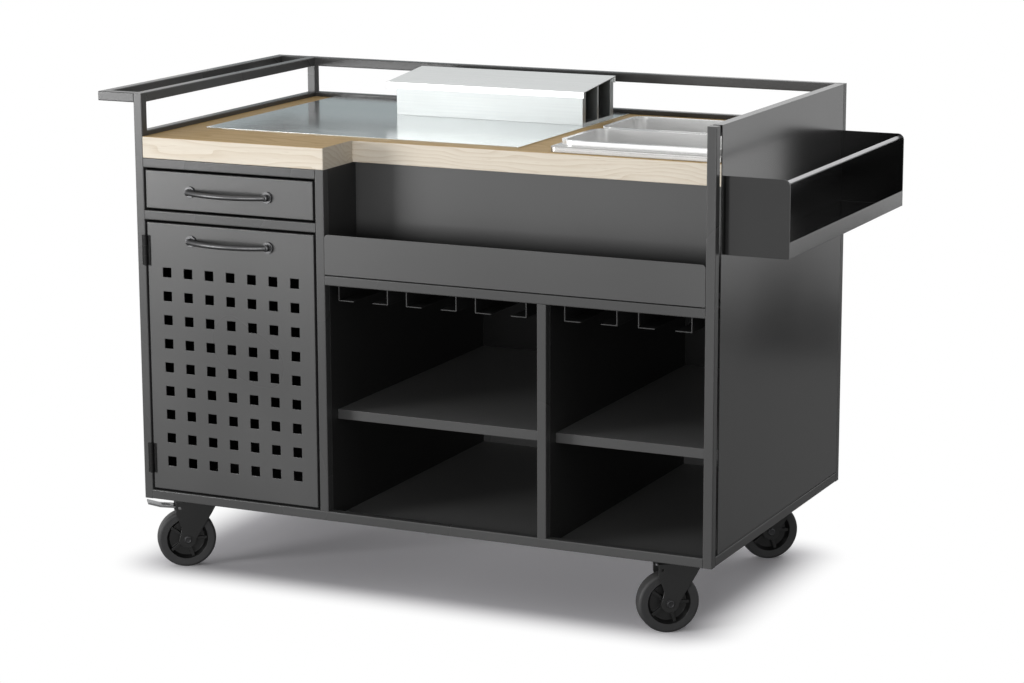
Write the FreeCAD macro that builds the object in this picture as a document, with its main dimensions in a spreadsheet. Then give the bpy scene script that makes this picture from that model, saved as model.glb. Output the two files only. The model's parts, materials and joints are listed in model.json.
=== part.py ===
import FreeCAD
import Part
import Sketcher
import os
import re

# Cocktail bar cart: tube frame on four casters, cabinet with drawer and door, bottle trough, open bays,
# wood worktop with a steel plate, a lidded caddy and two pans, push handle on the left, rack on the right.
# x runs to the right from the frame's left face, y to the back from its front face, z up from its underside.

doc = FreeCAD.newDocument("bar_cart")

# Sizes in millimetres and degrees
SIZES = (
    ("frame_width", 1300, "frame, left face to right face"),
    ("frame_depth", 760, "frame, front face to back face"),
    ("frame_height", 870, "frame, underside to the top of the guard rails"),
    ("tube", 20, "square tube, outside"),
    ("tube_wall", 1.5, "square tube, wall"),
    ("tube_round", 2, "square tube, corner radius"),
    ("handle_reach", 86, "push handle, reach to the left of the frame"),
    ("sheet", 2, "thickness of the folded sheets"),
    ("fit", 0.3, "gap between faces that move on each other"),
    ("run_fit", 0.05, "gap round a turning pin"),
    ("cabinet_post_left", 428, "cabinet post, left face"),
    ("middle_post_left", 924, "post between the bays, left face"),
    ("bay_height", 498, "underside of the rail over the bays"),
    ("drawer_opening", 90, "opening for the drawer, rail to rail"),
    ("low_rise", 10, "low rails, top above the worktop"),
    ("panel_recess", 8, "left panel, set in from the frame's outer face"),
    ("panel_gap", 2, "gap under the right panel"),
    ("panel_front_gap", 11, "right panel, gap behind the front post"),
    ("panel_flange", 20, "right panel, width of its folded top"),
    ("panel_lip", 27, "right panel, lip turned down from its folded top"),
    ("left_flange", 30, "left panel, width of its folded top"),
    ("floor_sheet", 3, "thickness of the floor"),
    ("guard_rise", 90, "top of the guard rails above the worktop"),
    ("top_thick", 45, "thickness of the worktop"),
    ("top_setback", 126, "front edge of the worktop over the bays"),
    ("top_round", 2, "worktop, edge radius"),
    ("trough_depth", 141, "bottle trough, front face to back face"),
    ("trough_lip", 83, "bottle trough, height of its front"),
    ("trough_gap", 2, "gap between the trough and the rail below"),
    ("trough_flange", 20, "bottle trough, flange under the worktop"),
    ("trough_round", 8, "bottle trough, upper corners of its front"),
    ("shelf_height", 228, "top face of the shelves"),
    ("shelf_lip", 20, "shelves, height of the folded front"),
    ("shelf_setback", 48, "shelves, front face"),
    ("channel_width", 114, "stemware channel, outside width"),
    ("channel_drop", 54, "stemware channel, height"),
    ("channel_flange", 35, "stemware channel, flange on each side of its slot"),
    ("channel_setback", 26, "stemware channels, front end"),
    ("channel_back_gap", 74, "stemware channels, back end to the back panel"),
    ("channel_least_gap", 25, "least room between two stemware channels"),
    ("channel_left_start", 17, "left bay, cabinet post to the first channel"),
    ("channel_left_end", 34, "left bay, last channel to the middle post"),
    ("channel_right_start", 28, "right bay, middle post to the first channel"),
    ("channel_right_end", 36, "right bay, last channel to the corner post"),
    ("plate_left", 75, "steel plate, left edge"),
    ("plate_front", 161, "steel plate, front edge"),
    ("plate_side_gap", 75, "steel plate, right edge to the pan surround"),
    ("plate_back_gap", 5, "steel plate, back edge to the low rail"),
    ("plate_thick", 3, "steel plate, thickness"),
    ("plate_round", 6, "steel plate, corner radius"),
    ("caddy_end_gap", 13, "caddy, right end to the plate's right edge"),
    ("caddy_back_gap", 66, "caddy, back face to the plate's back edge"),
    ("caddy_length", 444, "caddy, length"),
    ("caddy_depth", 164, "caddy, front to back"),
    ("caddy_height", 70, "caddy, height of its front without the lid"),
    ("caddy_rise", 16, "caddy, how much higher its back is than its front"),
    ("caddy_wall", 2, "caddy, thickness of its walls and floor"),
    ("caddy_middle", 6, "caddy, width of its middle wall"),
    ("caddy_return", 16, "caddy, wall left standing at each side of its ends"),
    ("caddy_sill", 4, "caddy, wall left standing below its open ends"),
    ("lid_length", 471, "caddy lid, length"),
    ("lid_over", 23, "caddy lid, reach past the caddy's left end"),
    ("lid_lip", 14, "caddy lid, height of its folded edges"),
    ("lid_gap", 2, "gap between the lid's folded edges and the caddy"),
    ("surround_margin", 36, "pan surround, right edge to the right panel"),
    ("surround_front", 140, "pan surround, front edge"),
    ("surround_rise", 12, "pan surround, height over the worktop"),
    ("surround_round", 12, "pan surround, corner radius"),
    ("surround_edge", 3, "pan surround, radius of its top edge"),
    ("pan_long", 360, "pan, left to right over its rim"),
    ("pan_short", 200, "pan, front to back over its rim"),
    ("pan_start", 20, "front pan's rim behind the surround's front"),
    ("pan_end", 22, "back pan's rim before the surround's back"),
    ("pan_side", 7.5, "pans' rims inside the surround's ends"),
    ("pan_gap", 8, "front pan to back pan"),
    ("pan_rim", 10, "pan, width of its rim"),
    ("pan_lip", 10, "pan, height of the rim's turned-down edge"),
    ("pan_sheet", 1.5, "pan, thickness of its sheet"),
    ("pan_deep", 100, "pan, depth below its rim"),
    ("pan_round", 34, "pan, corner radius over its rim"),
    ("pan_base_round", 12, "pan, radius round its base"),
    ("pan_fit", 2, "gap between the pan and its opening"),
    ("front_gap", 5, "gap round the drawer front and the door"),
    ("front_fold", 18, "drawer front and door, depth of their folded edges"),
    ("front_round", 1.5, "drawer front and door, edge radius"),
    ("hole_side", 21, "door, side of its square holes"),
    ("hole_pitch", 51, "door, hole to hole"),
    ("hole_columns", 7, "door, holes across"),
    ("hole_rows", 9, "door, holes upwards"),
    ("hole_start", 52, "door, lower edge to the lowest holes"),
    ("drawer_long", 450, "drawer box, front to back"),
    ("drawer_side_gap", 15, "drawer box, inside the drawer front's ends"),
    ("drawer_deep", 67, "drawer box, height"),
    ("drawer_raise", 3, "drawer box, above the drawer front's lower edge"),
    ("runner_width", 50, "drawer runners, width"),
    ("runner_height", 30, "drawer runners, height"),
    ("runner_start", 22, "drawer runners, front end"),
    ("runner_long", 440, "drawer runners, length"),
    ("bow_span", 184, "bow handles, foot to foot"),
    ("bow_reach", 40, "bow handles, reach in front of the face"),
    ("bow_bar", 11, "bow handles, bar diameter"),
    ("bow_neck", 14, "bow handles, neck diameter"),
    ("bow_neck_reach", 14, "bow handles, neck length"),
    ("bow_foot", 24, "bow handles, foot diameter"),
    ("bow_foot_thick", 4, "bow handles, foot thickness"),
    ("bow_round", 3, "bow handles, radius of the neck's end"),
    ("door_bow_drop", 34, "door handle, below the door's upper edge"),
    ("hinge_height", 64, "hinges, height"),
    ("hinge_low_inset", 34, "lower hinge, above the door's lower edge"),
    ("hinge_high_inset", 28, "upper hinge, below the door's upper edge"),
    ("hinge_barrel", 8, "hinges, barrel diameter"),
    ("hinge_pin", 4, "hinges, pin diameter"),
    ("hinge_leaf", 2, "hinges, leaf thickness"),
    ("hinge_frame_reach", 10, "hinges, pin to the outer edge of the leaf on the post"),
    ("hinge_door_reach", 9.5, "hinges, pin to the outer edge of the leaf on the door"),
    ("rack_depth", 136, "rack, side panel to its outer face"),
    ("rack_drop", 98, "rack, top of its ends below the top of the side panel"),
    ("rack_height", 153, "rack, height of its ends"),
    ("rack_lip", 32, "rack, height of its outer lip"),
    ("rack_round", 13, "rack, upper outer corners of its ends"),
    ("rack_front_inset", 5, "rack, front end behind the side panel's front edge"),
    ("rack_back_inset", 2, "rack, back end before the side panel's back edge"),
    ("rack_bar_wide", 9, "rack bar, diameter"),
    ("rack_bar_inset", 12, "rack bar, axis inside the rack's outer face"),
    ("rack_bar_drop", 9, "rack bar, axis below the top of the rack's ends"),
    ("wheel_clearance", 35, "tyre to the frame's underside"),
    ("caster_inset", 90, "caster swivel axes, from the frame's outer faces"),
    ("caster_trail", 38, "caster axle, behind its swivel axis"),
    ("caster_turn", 37.5, "casters, turn about their swivel axes"),
    ("caster_plate_long", 104, "caster plate, length"),
    ("caster_plate_wide", 86, "caster plate, width"),
    ("caster_plate_thick", 4, "caster plate, thickness"),
    ("race_wide", 60, "caster bearing, diameter"),
    ("race_high", 11, "caster bearing, height"),
    ("king_pin", 12, "caster king pin, diameter"),
    ("king_gap", 2, "metal left over the king pin"),
    ("fork_sheet", 3, "caster fork, thickness"),
    ("fork_inside", 40, "caster fork, width between its legs"),
    ("fork_front", 25, "caster fork, reach in front of the swivel axis"),
    ("fork_back", 62, "caster fork, reach behind the swivel axis"),
    ("fork_boss", 18, "caster fork, radius round the axle"),
    ("fork_front_drop", 8, "caster fork, straight part of its front edge"),
    ("fork_front_run", 10, "caster fork, how far its front edge then slopes in"),
    ("fork_front_fall", 18, "caster fork, height of that slope"),
    ("fork_back_drop", 24, "caster fork, straight part of its back edge"),
    ("fork_waist_rise", 26, "caster fork, narrowest place above the axle"),
    ("fork_waist_run", 6, "caster fork, how far it narrows there"),
    ("wheel_wide", 125, "wheel, diameter"),
    ("tyre_width", 32, "wheel, tyre width"),
    ("tyre_round", 6, "wheel, tyre edge radius"),
    ("rim_radius", 44, "wheel, inner radius of the tyre's side"),
    ("recess_radius", 38, "wheel, radius of the recess in its side"),
    ("web_thick", 8, "wheel, web thickness"),
    ("hub_radius", 15, "wheel, hub radius"),
    ("hub_gap", 2, "wheel, hub to the fork's legs"),
    ("spoke_count", 5, "wheel, ribs on its web"),
    ("spoke_thick", 6, "wheel, rib thickness"),
    ("spoke_sink", 4, "wheel, how far its ribs reach into the rim"),
    ("spoke_width", 26, "wheel, rib width across the web"),
    ("axle_thick", 10, "axle, diameter"),
    ("axle_head", 17, "axle, head and nut diameter"),
    ("axle_head_thick", 5, "axle, head and nut thickness"),
    ("pedal_pivot_back", 54, "brake pedal, pivot behind the swivel axis"),
    ("pedal_pivot_drop", 27, "brake pedal, pivot below the frame"),
    ("pedal_hub", 10, "brake pedal, hub diameter"),
    ("pedal_pin", 6, "brake pedal, pivot pin diameter"),
    ("pedal_width", 32, "brake pedal, width"),
    ("pedal_arm", 40, "brake pedal, pivot to its bend"),
    ("pedal_arm_rise", 5, "brake pedal, rise of its arm"),
    ("pedal_tip", 26, "brake pedal, bend to its tip"),
    ("pedal_tip_rise", 8, "brake pedal, rise of its tip"),
    ("pedal_thick", 4, "brake pedal, thickness"),
    ("pedal_slot_long", 18, "brake pedal, slot length"),
    ("pedal_slot_wide", 14, "brake pedal, slot width"),
    ("pedal_slot_edge", 4, "brake pedal, slot to its bend"),
)
sizes = doc.addObject("Spreadsheet::Sheet", "Sizes")
for row, (alias, number, note) in enumerate(SIZES, 1):
    sizes.set(f"A{row}", note)
    sizes.set(f"B{row}", str(number))
    sizes.setAlias(f"B{row}", alias)
doc.recompute()
ALIASES = {alias for alias, number, note in SIZES}

# The cart's own frame: origin on the floor, under the middle of the whole cart
ORIGIN_X = "((frame_width + rack_depth - handle_reach) / 2)"
ORIGIN_Y = "((frame_depth - bow_reach) / 2)"

# Places that several pieces share
POST_RIGHT = "(frame_width - tube)"
POST_BACK = "(frame_depth - tube)"
CABINET_RIGHT = "(cabinet_post_left + tube)"
MIDDLE_RIGHT = "(middle_post_left + tube)"
PANEL_INSIDE = "(frame_width - sheet)"
PANEL_FRONT = "(tube + panel_front_gap)"
TOP_HEIGHT = "(frame_height - guard_rise)"
TOP_UNDER = f"({TOP_HEIGHT} - top_thick)"
BAY_RAIL_TOP = "(bay_height + tube)"
CEILING_UNDER = f"({BAY_RAIL_TOP} - sheet)"
DRAWER_RAIL_TOP = f"({TOP_UNDER} - tube - drawer_opening)"
DRAWER_RAIL_LOW = f"({DRAWER_RAIL_TOP} - tube)"
INSIDE_DEPTH = "(frame_depth - 2 * tube)"
FRONT_LEFT = "(tube + front_gap)"
FRONT_WIDTH = "(cabinet_post_left - tube - 2 * front_gap)"
FRONT_MIDDLE = "((cabinet_post_left + tube) / 2)"
DRAWER_LOW = f"({DRAWER_RAIL_TOP} + front_gap)"
DRAWER_HIGH = "(drawer_opening - 2 * front_gap)"
DOOR_LOW = "(tube + front_gap)"
DOOR_HIGH = f"({DRAWER_RAIL_LOW} - tube - 2 * front_gap)"
AXLE_DROP = "(wheel_clearance + wheel_wide / 2)"
CROWN_TOP = "(caster_plate_thick + race_high + fit)"

nodes = {}


def expression(text):
    """Formula text with every size name pointing into the sheet."""
    return re.sub(r"[a-z][a-z_]*", lambda word: f"Sizes.{word[0]}" if word[0] in ALIASES else word[0], text)


def value(text):
    """Number that a formula gives now."""
    result = sizes.evalExpression(expression(text))
    return float(getattr(result, "Value", result))


def bind(item, prop, text):
    item.setExpression(prop, expression(text))


def place(item, x, y, z, turn=0.0):
    """Put a piece at x, y, z of the frame, turned about the vertical."""
    item.Placement = FreeCAD.Placement(FreeCAD.Vector(), FreeCAD.Rotation(FreeCAD.Vector(0, 0, 1), turn))
    bind(item, "Placement.Base.x", f"{x} - {ORIGIN_X}")
    bind(item, "Placement.Base.y", f"{y} - {ORIGIN_Y}")
    bind(item, "Placement.Base.z", f"{z} + wheel_clearance + wheel_wide")


def new_body(label):
    body = doc.addObject("PartDesign::Body", label)
    body.Label = label
    body.AllowCompound = True
    nodes[label] = body
    return body


def sketch_on(body, plane, offset="0"):
    """Sketch on one of the body's own planes, moved along the plane's normal."""
    sketch = body.newObject("Sketcher::SketchObject", f"{body.Name}_sketch")
    support = next(item for item in body.Origin.OriginFeatures if item.Role == plane)
    sketch.AttachmentSupport = [(support, "")]
    sketch.MapMode = "FlatFace"
    bind(sketch, "AttachmentOffset.Base.z", offset)
    return sketch


def hold(sketch, kind, text, *points):
    """Dimension bound to a formula."""
    index = sketch.addConstraint(Sketcher.Constraint(kind, *points, value(text)))
    bind(sketch, f"Constraints[{index}]", text)


def pin(sketch, line, end, x, y):
    """Hold one end of a line, or a circle's centre, at x, y from the sketch's origin."""
    for kind, axis, text in (("DistanceX", -2, x), ("DistanceY", -1, y)):
        if text == "0":
            sketch.addConstraint(Sketcher.Constraint("PointOnObject", line, end, axis))
        else:
            hold(sketch, kind, text, -1, 1, line, end)


def outline(sketch, points):
    """Closed outline through the points."""
    first = sketch.GeometryCount
    corners = [FreeCAD.Vector(value(x), value(y), 0) for x, y in points]
    count = len(corners)
    for index in range(count):
        sketch.addGeometry(Part.LineSegment(corners[index], corners[(index + 1) % count]), False)
    for index in range(count):
        following = first + (index + 1) % count
        sketch.addConstraint(Sketcher.Constraint("Coincident", first + index, 2, following, 1))
    for index, (x, y) in enumerate(points):
        pin(sketch, first + index, 1, x, y)


def rectangle(sketch, x, y, width, height):
    right = width if x == "0" else f"{x} + {width}"
    top = height if y == "0" else f"{y} + {height}"
    outline(sketch, ((x, y), (right, y), (right, top), (x, top)))


def rounded(sketch, x, y, width, height, radius):
    """Rectangle with rounded corners."""
    first = sketch.GeometryCount
    left, low = value(x), value(y)
    right, top = left + value(width), low + value(height)
    turn = value(radius)
    quarter = 1.5707963267948966
    along = FreeCAD.Vector(0, 0, 1)
    sides = (((left + turn, low), (right - turn, low)), ((right, low + turn), (right, top - turn)),
             ((right - turn, top), (left + turn, top)), ((left, top - turn), (left, low + turn)))
    centres = ((right - turn, low + turn), (right - turn, top - turn),
               (left + turn, top - turn), (left + turn, low + turn))
    for index in range(4):
        begin, end = sides[index]
        sketch.addGeometry(Part.LineSegment(FreeCAD.Vector(*begin, 0), FreeCAD.Vector(*end, 0)), False)
        circle = Part.Circle(FreeCAD.Vector(*centres[index], 0), along, turn)
        start = (index - 1) * quarter
        sketch.addGeometry(Part.ArcOfCircle(circle, start, start + quarter), False)
    for index in range(8):
        following = first + (index + 1) % 8
        sketch.addConstraint(Sketcher.Constraint("Tangent", first + index, 2, following, 1))
    for index in (0, 4):
        sketch.addConstraint(Sketcher.Constraint("Horizontal", first + index))
        sketch.addConstraint(Sketcher.Constraint("Vertical", first + index + 2))
    for index in (3, 5, 7):
        sketch.addConstraint(Sketcher.Constraint("Equal", first + 1, first + index))
    hold(sketch, "Radius", radius, first + 1)
    hold(sketch, "DistanceY", y, -1, 1, first, 1)
    hold(sketch, "DistanceX", f"{x} + {width}", -1, 1, first + 2, 1)
    hold(sketch, "DistanceY", f"{y} + {height}", -1, 1, first + 4, 1)
    hold(sketch, "DistanceX", x, -1, 1, first + 6, 1)


def disc(sketch, x, y, radius):
    centre = FreeCAD.Vector(value(x), value(y), 0)
    circle = sketch.addGeometry(Part.Circle(centre, FreeCAD.Vector(0, 0, 1), value(radius)), False)
    pin(sketch, circle, 3, x, y)
    hold(sketch, "Radius", radius, circle)


def axis_line(sketch, x):
    """Construction line along the sketch's upright axis, at x."""
    begin = FreeCAD.Vector(value(x), 0, 0)
    end = FreeCAD.Vector(value(x), value("tube"), 0)
    line = sketch.addGeometry(Part.LineSegment(begin, end), True)
    pin(sketch, line, 1, x, "0")
    pin(sketch, line, 2, x, "tube")


def grow(body, kind, sketch, length, back=False, both=False):
    """Pad or pocket of a sketch: by a length, or right through when the length is None."""
    feature = body.newObject(f"PartDesign::{kind}", f"{body.Name}_{kind.lower()}")
    feature.Profile = sketch
    feature.Reversed = back
    if both:
        feature.SideType = "Symmetric"
    if length is None:
        feature.Type = "ThroughAll"
    else:
        bind(feature, "Length", length)
    return feature


def pad(body, sketch, length, back=False, both=False):
    return grow(body, "Pad", sketch, length, back, both)


def pocket(body, sketch, length, back=False, both=False):
    """Cut that has to take metal away."""
    before = body.Tip
    doc.recompute()
    volume = before.Shape.Volume
    feature = grow(body, "Pocket", sketch, length, back, both)
    doc.recompute()
    if feature.Shape.Volume >= volume - 1:
        raise RuntimeError(f"{body.Label}: a pocket cuts nothing")
    return feature


def round_edges(body, radius, test):
    """Fillet on the edges of the body so far that pass a test."""
    doc.recompute()
    base = body.Tip
    names = [f"Edge{number}" for number, edge in enumerate(base.Shape.Edges, 1) if test(edge)]
    if not names:
        raise RuntimeError(f"{body.Label}: no edge to round")
    feature = body.newObject("PartDesign::Fillet", f"{body.Name}_round")
    feature.Base = (base, names)
    bind(feature, "Radius", radius)
    return feature


def straight(edge, axis):
    """Whether an edge runs along an axis, 0 to 2 for x to z."""
    ends = [vertex.Point for vertex in edge.Vertexes]
    if len(ends) != 2 or not isinstance(edge.Curve, Part.Line):
        return False
    run = ends[1] - ends[0]
    return abs(run[axis]) > 0.999 * run.Length


def near(edge, axis, text):
    """Whether an edge's middle lies at a place along an axis."""
    return abs(edge.BoundBox.Center[axis] - value(text)) < 0.01


# Plane that a run along an axis starts from, and whether the run goes against the plane's normal
START = {"x": ("YZ_Plane", False), "y": ("XZ_Plane", True), "z": ("XY_Plane", False)}


def tube_piece(label, axis, length, x, y, z, closed=False):
    """Hollow square tube along an axis; a closed one has its far end shut."""
    body = new_body(label)
    plane, back = START[axis]
    outside = sketch_on(body, plane)
    rectangle(outside, "0", "0", "tube", "tube")
    pad(body, outside, length, back)
    round_edges(body, "tube_round", lambda edge: straight(edge, "xyz".index(axis)))
    bore = sketch_on(body, plane)
    rectangle(bore, "tube_wall", "tube_wall", "tube - 2 * tube_wall", "tube - 2 * tube_wall")
    pocket(body, bore, f"{length} - tube_wall" if closed else length, not back)
    place(body, x, y, z)
    return body


def folded_piece(label, axis, points, length, x, y, z):
    """Folded sheet: its section, drawn through the points, run along an axis."""
    body = new_body(label)
    plane, back = START[axis]
    section = sketch_on(body, plane)
    outline(section, points)
    pad(body, section, length, back)
    place(body, x, y, z)
    return body


def flat_piece(label, size, x, y, z):
    """Flat sheet or block of the given width, depth and height."""
    width, depth, height = size
    return folded_piece(label, "z", (("0", "0"), (width, "0"), (width, depth), ("0", depth)), height, x, y, z)


# Frame
for end, left in (("left", "0"), ("right", POST_RIGHT)):
    for side, front in (("front", "0"), ("back", POST_BACK)):
        tube_piece(f"corner_post_{side}_{end}", "z", "frame_height", left, front, "0", closed=True)
tube_piece("cabinet_post", "z", f"{TOP_UNDER} - tube", "cabinet_post_left", "0", "tube")
tube_piece("middle_post", "z", "bay_height - tube", "middle_post_left", "0", "tube")
LONG_RAIL = "(frame_width - 2 * tube)"
tube_piece("bottom_rail_front", "x", LONG_RAIL, "tube", "0", "0")
tube_piece("bottom_rail_back", "x", LONG_RAIL, "tube", POST_BACK, "0")
tube_piece("bottom_rail_left", "y", INSIDE_DEPTH, "0", "tube", "0")
tube_piece("bottom_rail_right", "y", INSIDE_DEPTH, POST_RIGHT, "tube", "0")
CABINET_RAIL = "(cabinet_post_left - tube)"
tube_piece("drawer_top_rail", "x", CABINET_RAIL, "tube", "0", f"{TOP_UNDER} - tube")
tube_piece("drawer_bottom_rail", "x", CABINET_RAIL, "tube", "0", DRAWER_RAIL_LOW)
tube_piece("bay_rail", "x", f"{POST_RIGHT} - {CABINET_RIGHT}", CABINET_RIGHT, "0", "bay_height")
GUARD_LOW = "(frame_height - tube)"
LOW_RAIL_LOW = f"({TOP_HEIGHT} + low_rise - tube)"
for name, height in (("guard_rail", GUARD_LOW), ("low_rail", LOW_RAIL_LOW)):
    tube_piece(f"{name}_left", "y", INSIDE_DEPTH, "0", "tube", height)
    tube_piece(f"{name}_back", "x", LONG_RAIL, "tube", POST_BACK, height)

# Push handle: one bent tube, open where it meets the posts
push_handle = new_body("push_handle")
HANDLE_POINTS = (("0", "0"), ("handle_reach", "0"), ("handle_reach", "tube"), ("tube", "tube"),
                 ("tube", "frame_depth - tube"), ("handle_reach", "frame_depth - tube"),
                 ("handle_reach", "frame_depth"), ("0", "frame_depth"))
bend = sketch_on(push_handle, "XY_Plane")
outline(bend, HANDLE_POINTS)
pad(push_handle, bend, "tube")
round_edges(push_handle, "tube_round",
            lambda edge: not straight(edge, 2) and not near(edge, 0, "handle_reach"))
BORE_POINTS = (("tube_wall", "tube_wall"), ("handle_reach", "tube_wall"),
               ("handle_reach", "tube - tube_wall"), ("tube - tube_wall", "tube - tube_wall"),
               ("tube - tube_wall", "frame_depth - tube + tube_wall"),
               ("handle_reach", "frame_depth - tube + tube_wall"),
               ("handle_reach", "frame_depth - tube_wall"), ("tube_wall", "frame_depth - tube_wall"))
handle_bore = sketch_on(push_handle, "XY_Plane", "tube_wall")
outline(handle_bore, BORE_POINTS)
pocket(push_handle, handle_bore, "tube - 2 * tube_wall", back=True)
place(push_handle, "0 - handle_reach", "0", GUARD_LOW)

# Sheets round the frame
PANEL_HIGH = "(frame_height - tube - panel_gap)"
folded_piece("side_panel_right", "y",
             (("panel_flange - sheet", "0"), ("panel_flange", "0"), ("panel_flange", PANEL_HIGH),
              ("0", PANEL_HIGH), ("0", f"{PANEL_HIGH} - panel_lip"), ("sheet", f"{PANEL_HIGH} - panel_lip"),
              ("sheet", f"{PANEL_HIGH} - sheet"), ("panel_flange - sheet", f"{PANEL_HIGH} - sheet")),
             f"{POST_BACK} - {PANEL_FRONT}", "frame_width - panel_flange", PANEL_FRONT, "tube + panel_gap")
LEFT_HIGH = f"({TOP_UNDER} - tube)"
folded_piece("side_panel_left", "y",
             (("0", "0"), ("sheet", "0"), ("sheet", f"{LEFT_HIGH} - sheet"),
              ("left_flange", f"{LEFT_HIGH} - sheet"), ("left_flange", LEFT_HIGH), ("0", LEFT_HIGH)),
             INSIDE_DEPTH, "panel_recess", "tube", "tube")
flat_piece("back_panel", (LONG_RAIL, "sheet", f"{LOW_RAIL_LOW} - tube"), "tube", POST_BACK, "tube")
flat_piece("cabinet_wall", ("sheet", INSIDE_DEPTH, f"{TOP_UNDER} - floor_sheet"),
           f"{CABINET_RIGHT} - sheet", "tube", "floor_sheet")
flat_piece("bay_divider", ("sheet", INSIDE_DEPTH, f"{CEILING_UNDER} - floor_sheet"),
           f"{MIDDLE_RIGHT} - sheet", "tube", "floor_sheet")
flat_piece("floor_panel", (LONG_RAIL, INSIDE_DEPTH, "floor_sheet"), "tube", "tube", "0")
flat_piece("bay_ceiling", (f"{PANEL_INSIDE} - {CABINET_RIGHT}", INSIDE_DEPTH, "sheet"),
           CABINET_RIGHT, "tube", CEILING_UNDER)

# Bottle trough: front, floor, back wall and a flange under the worktop, folded from one sheet
TROUGH_LOW = f"({BAY_RAIL_TOP} + trough_gap)"
TROUGH_HIGH = f"({TOP_UNDER} - {TROUGH_LOW})"
trough = folded_piece("bottle_trough", "x",
                      (("0", "0"), ("trough_depth", "0"), ("trough_depth", f"{TROUGH_HIGH} - sheet"),
                       ("trough_depth + trough_flange", f"{TROUGH_HIGH} - sheet"),
                       ("trough_depth + trough_flange", TROUGH_HIGH), ("trough_depth - sheet", TROUGH_HIGH),
                       ("trough_depth - sheet", "sheet"), ("sheet", "sheet"), ("sheet", "trough_lip"),
                       ("0", "trough_lip")),
                      f"{POST_RIGHT} - {CABINET_RIGHT}", CABINET_RIGHT, "0", TROUGH_LOW)
round_edges(trough, "trough_round", lambda edge: straight(edge, 1) and near(edge, 2, "trough_lip"))

# Shelves and stemware channels in the bays
SHELF_DEPTH = f"({POST_BACK} - shelf_setback)"
SHELF_POINTS = (("0", "0"), ("sheet", "0"), ("sheet", "shelf_lip - sheet"),
                (SHELF_DEPTH, "shelf_lip - sheet"), (SHELF_DEPTH, "shelf_lip"), ("0", "shelf_lip"))
for name, left, right in (("shelf_left", CABINET_RIGHT, f"({MIDDLE_RIGHT} - sheet)"),
                          ("shelf_right", MIDDLE_RIGHT, PANEL_INSIDE)):
    folded_piece(name, "x", SHELF_POINTS, f"{right} - {left}", left, "shelf_setback",
                 "shelf_height - shelf_lip")
channels = new_body("stemware_channels")
section = sketch_on(channels, "XZ_Plane")
starts = []
for side, begin, room in (("left", CABINET_RIGHT, f"(middle_post_left - {CABINET_RIGHT})"),
                          ("right", MIDDLE_RIGHT, f"({POST_RIGHT} - {MIDDLE_RIGHT})")):
    margin = f"(channel_{side}_start + channel_{side}_end)"
    step = "(channel_width + channel_least_gap)"
    count = max(1, int(value(f"({room} - {margin} + channel_least_gap) / {step}")))
    pitch = f"(({room} - {margin} - channel_width) / {max(1, count - 1)})"
    first = f"{begin} - {CABINET_RIGHT} + channel_{side}_start"
    starts += [f"{first} + {index} * {pitch}" for index in range(count)]
for left in starts:
    outline(section, ((left, "0"), (f"{left} + channel_flange", "0"), (f"{left} + channel_flange", "sheet"),
                      (f"{left} + sheet", "sheet"), (f"{left} + sheet", "channel_drop - sheet"),
                      (f"{left} + channel_width - sheet", "channel_drop - sheet"),
                      (f"{left} + channel_width - sheet", "sheet"),
                      (f"{left} + channel_width - channel_flange", "sheet"),
                      (f"{left} + channel_width - channel_flange", "0"), (f"{left} + channel_width", "0"),
                      (f"{left} + channel_width", "channel_drop"), (left, "channel_drop")))
pad(channels, section, f"{POST_BACK} - channel_setback - channel_back_gap", back=True)
place(channels, CABINET_RIGHT, "channel_setback", f"{CEILING_UNDER} - channel_drop")

# Worktop, cut back over the bottle trough and cut out for the pans
worktop = new_body("worktop")
slab = sketch_on(worktop, "XY_Plane")
TOP_LONG = f"({PANEL_INSIDE} - tube)"
TOP_STEP = f"({CABINET_RIGHT} - tube)"
outline(slab, (("0", "0"), (TOP_STEP, "0"), (TOP_STEP, "top_setback"), (TOP_LONG, "top_setback"),
               (TOP_LONG, POST_BACK), ("0", POST_BACK)))
pad(worktop, slab, "top_thick")
round_edges(worktop, "top_round",
            lambda edge: straight(edge, 0) and not near(edge, 1, POST_BACK)
            or straight(edge, 2) and near(edge, 0, TOP_STEP) and near(edge, 1, "0"))
SURROUND_LONG = "(pan_long + 2 * pan_side)"
SURROUND_LEFT = f"({PANEL_INSIDE} - surround_margin - {SURROUND_LONG})"
SURROUND_DEEP = "(pan_start + 2 * pan_short + pan_gap + pan_end)"
PAN_LEFT = f"({SURROUND_LEFT} + pan_side)"
PAN_FRONT = "(surround_front + pan_start)"
well = sketch_on(worktop, "XY_Plane")
WELL_EDGE = "(pan_rim - pan_fit)"
rectangle(well, f"{PAN_LEFT} - tube + {WELL_EDGE}", f"{PAN_FRONT} + {WELL_EDGE}",
          f"pan_long - 2 * {WELL_EDGE}", f"2 * pan_short + pan_gap - 2 * {WELL_EDGE}")
pocket(worktop, well, "top_thick", back=True)
place(worktop, "tube", "0", TOP_UNDER)

# Steel plate lying on the worktop
PLATE_RIGHT = f"({SURROUND_LEFT} - plate_side_gap)"
PLATE_BACK = f"({POST_BACK} - plate_back_gap)"
PLATE_SIZE = (f"{PLATE_RIGHT} - plate_left", f"{PLATE_BACK} - plate_front", "plate_thick")
plate = flat_piece("steel_plate", PLATE_SIZE, "plate_left", "plate_front", TOP_HEIGHT)
round_edges(plate, "plate_round", lambda edge: straight(edge, 2))

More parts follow.
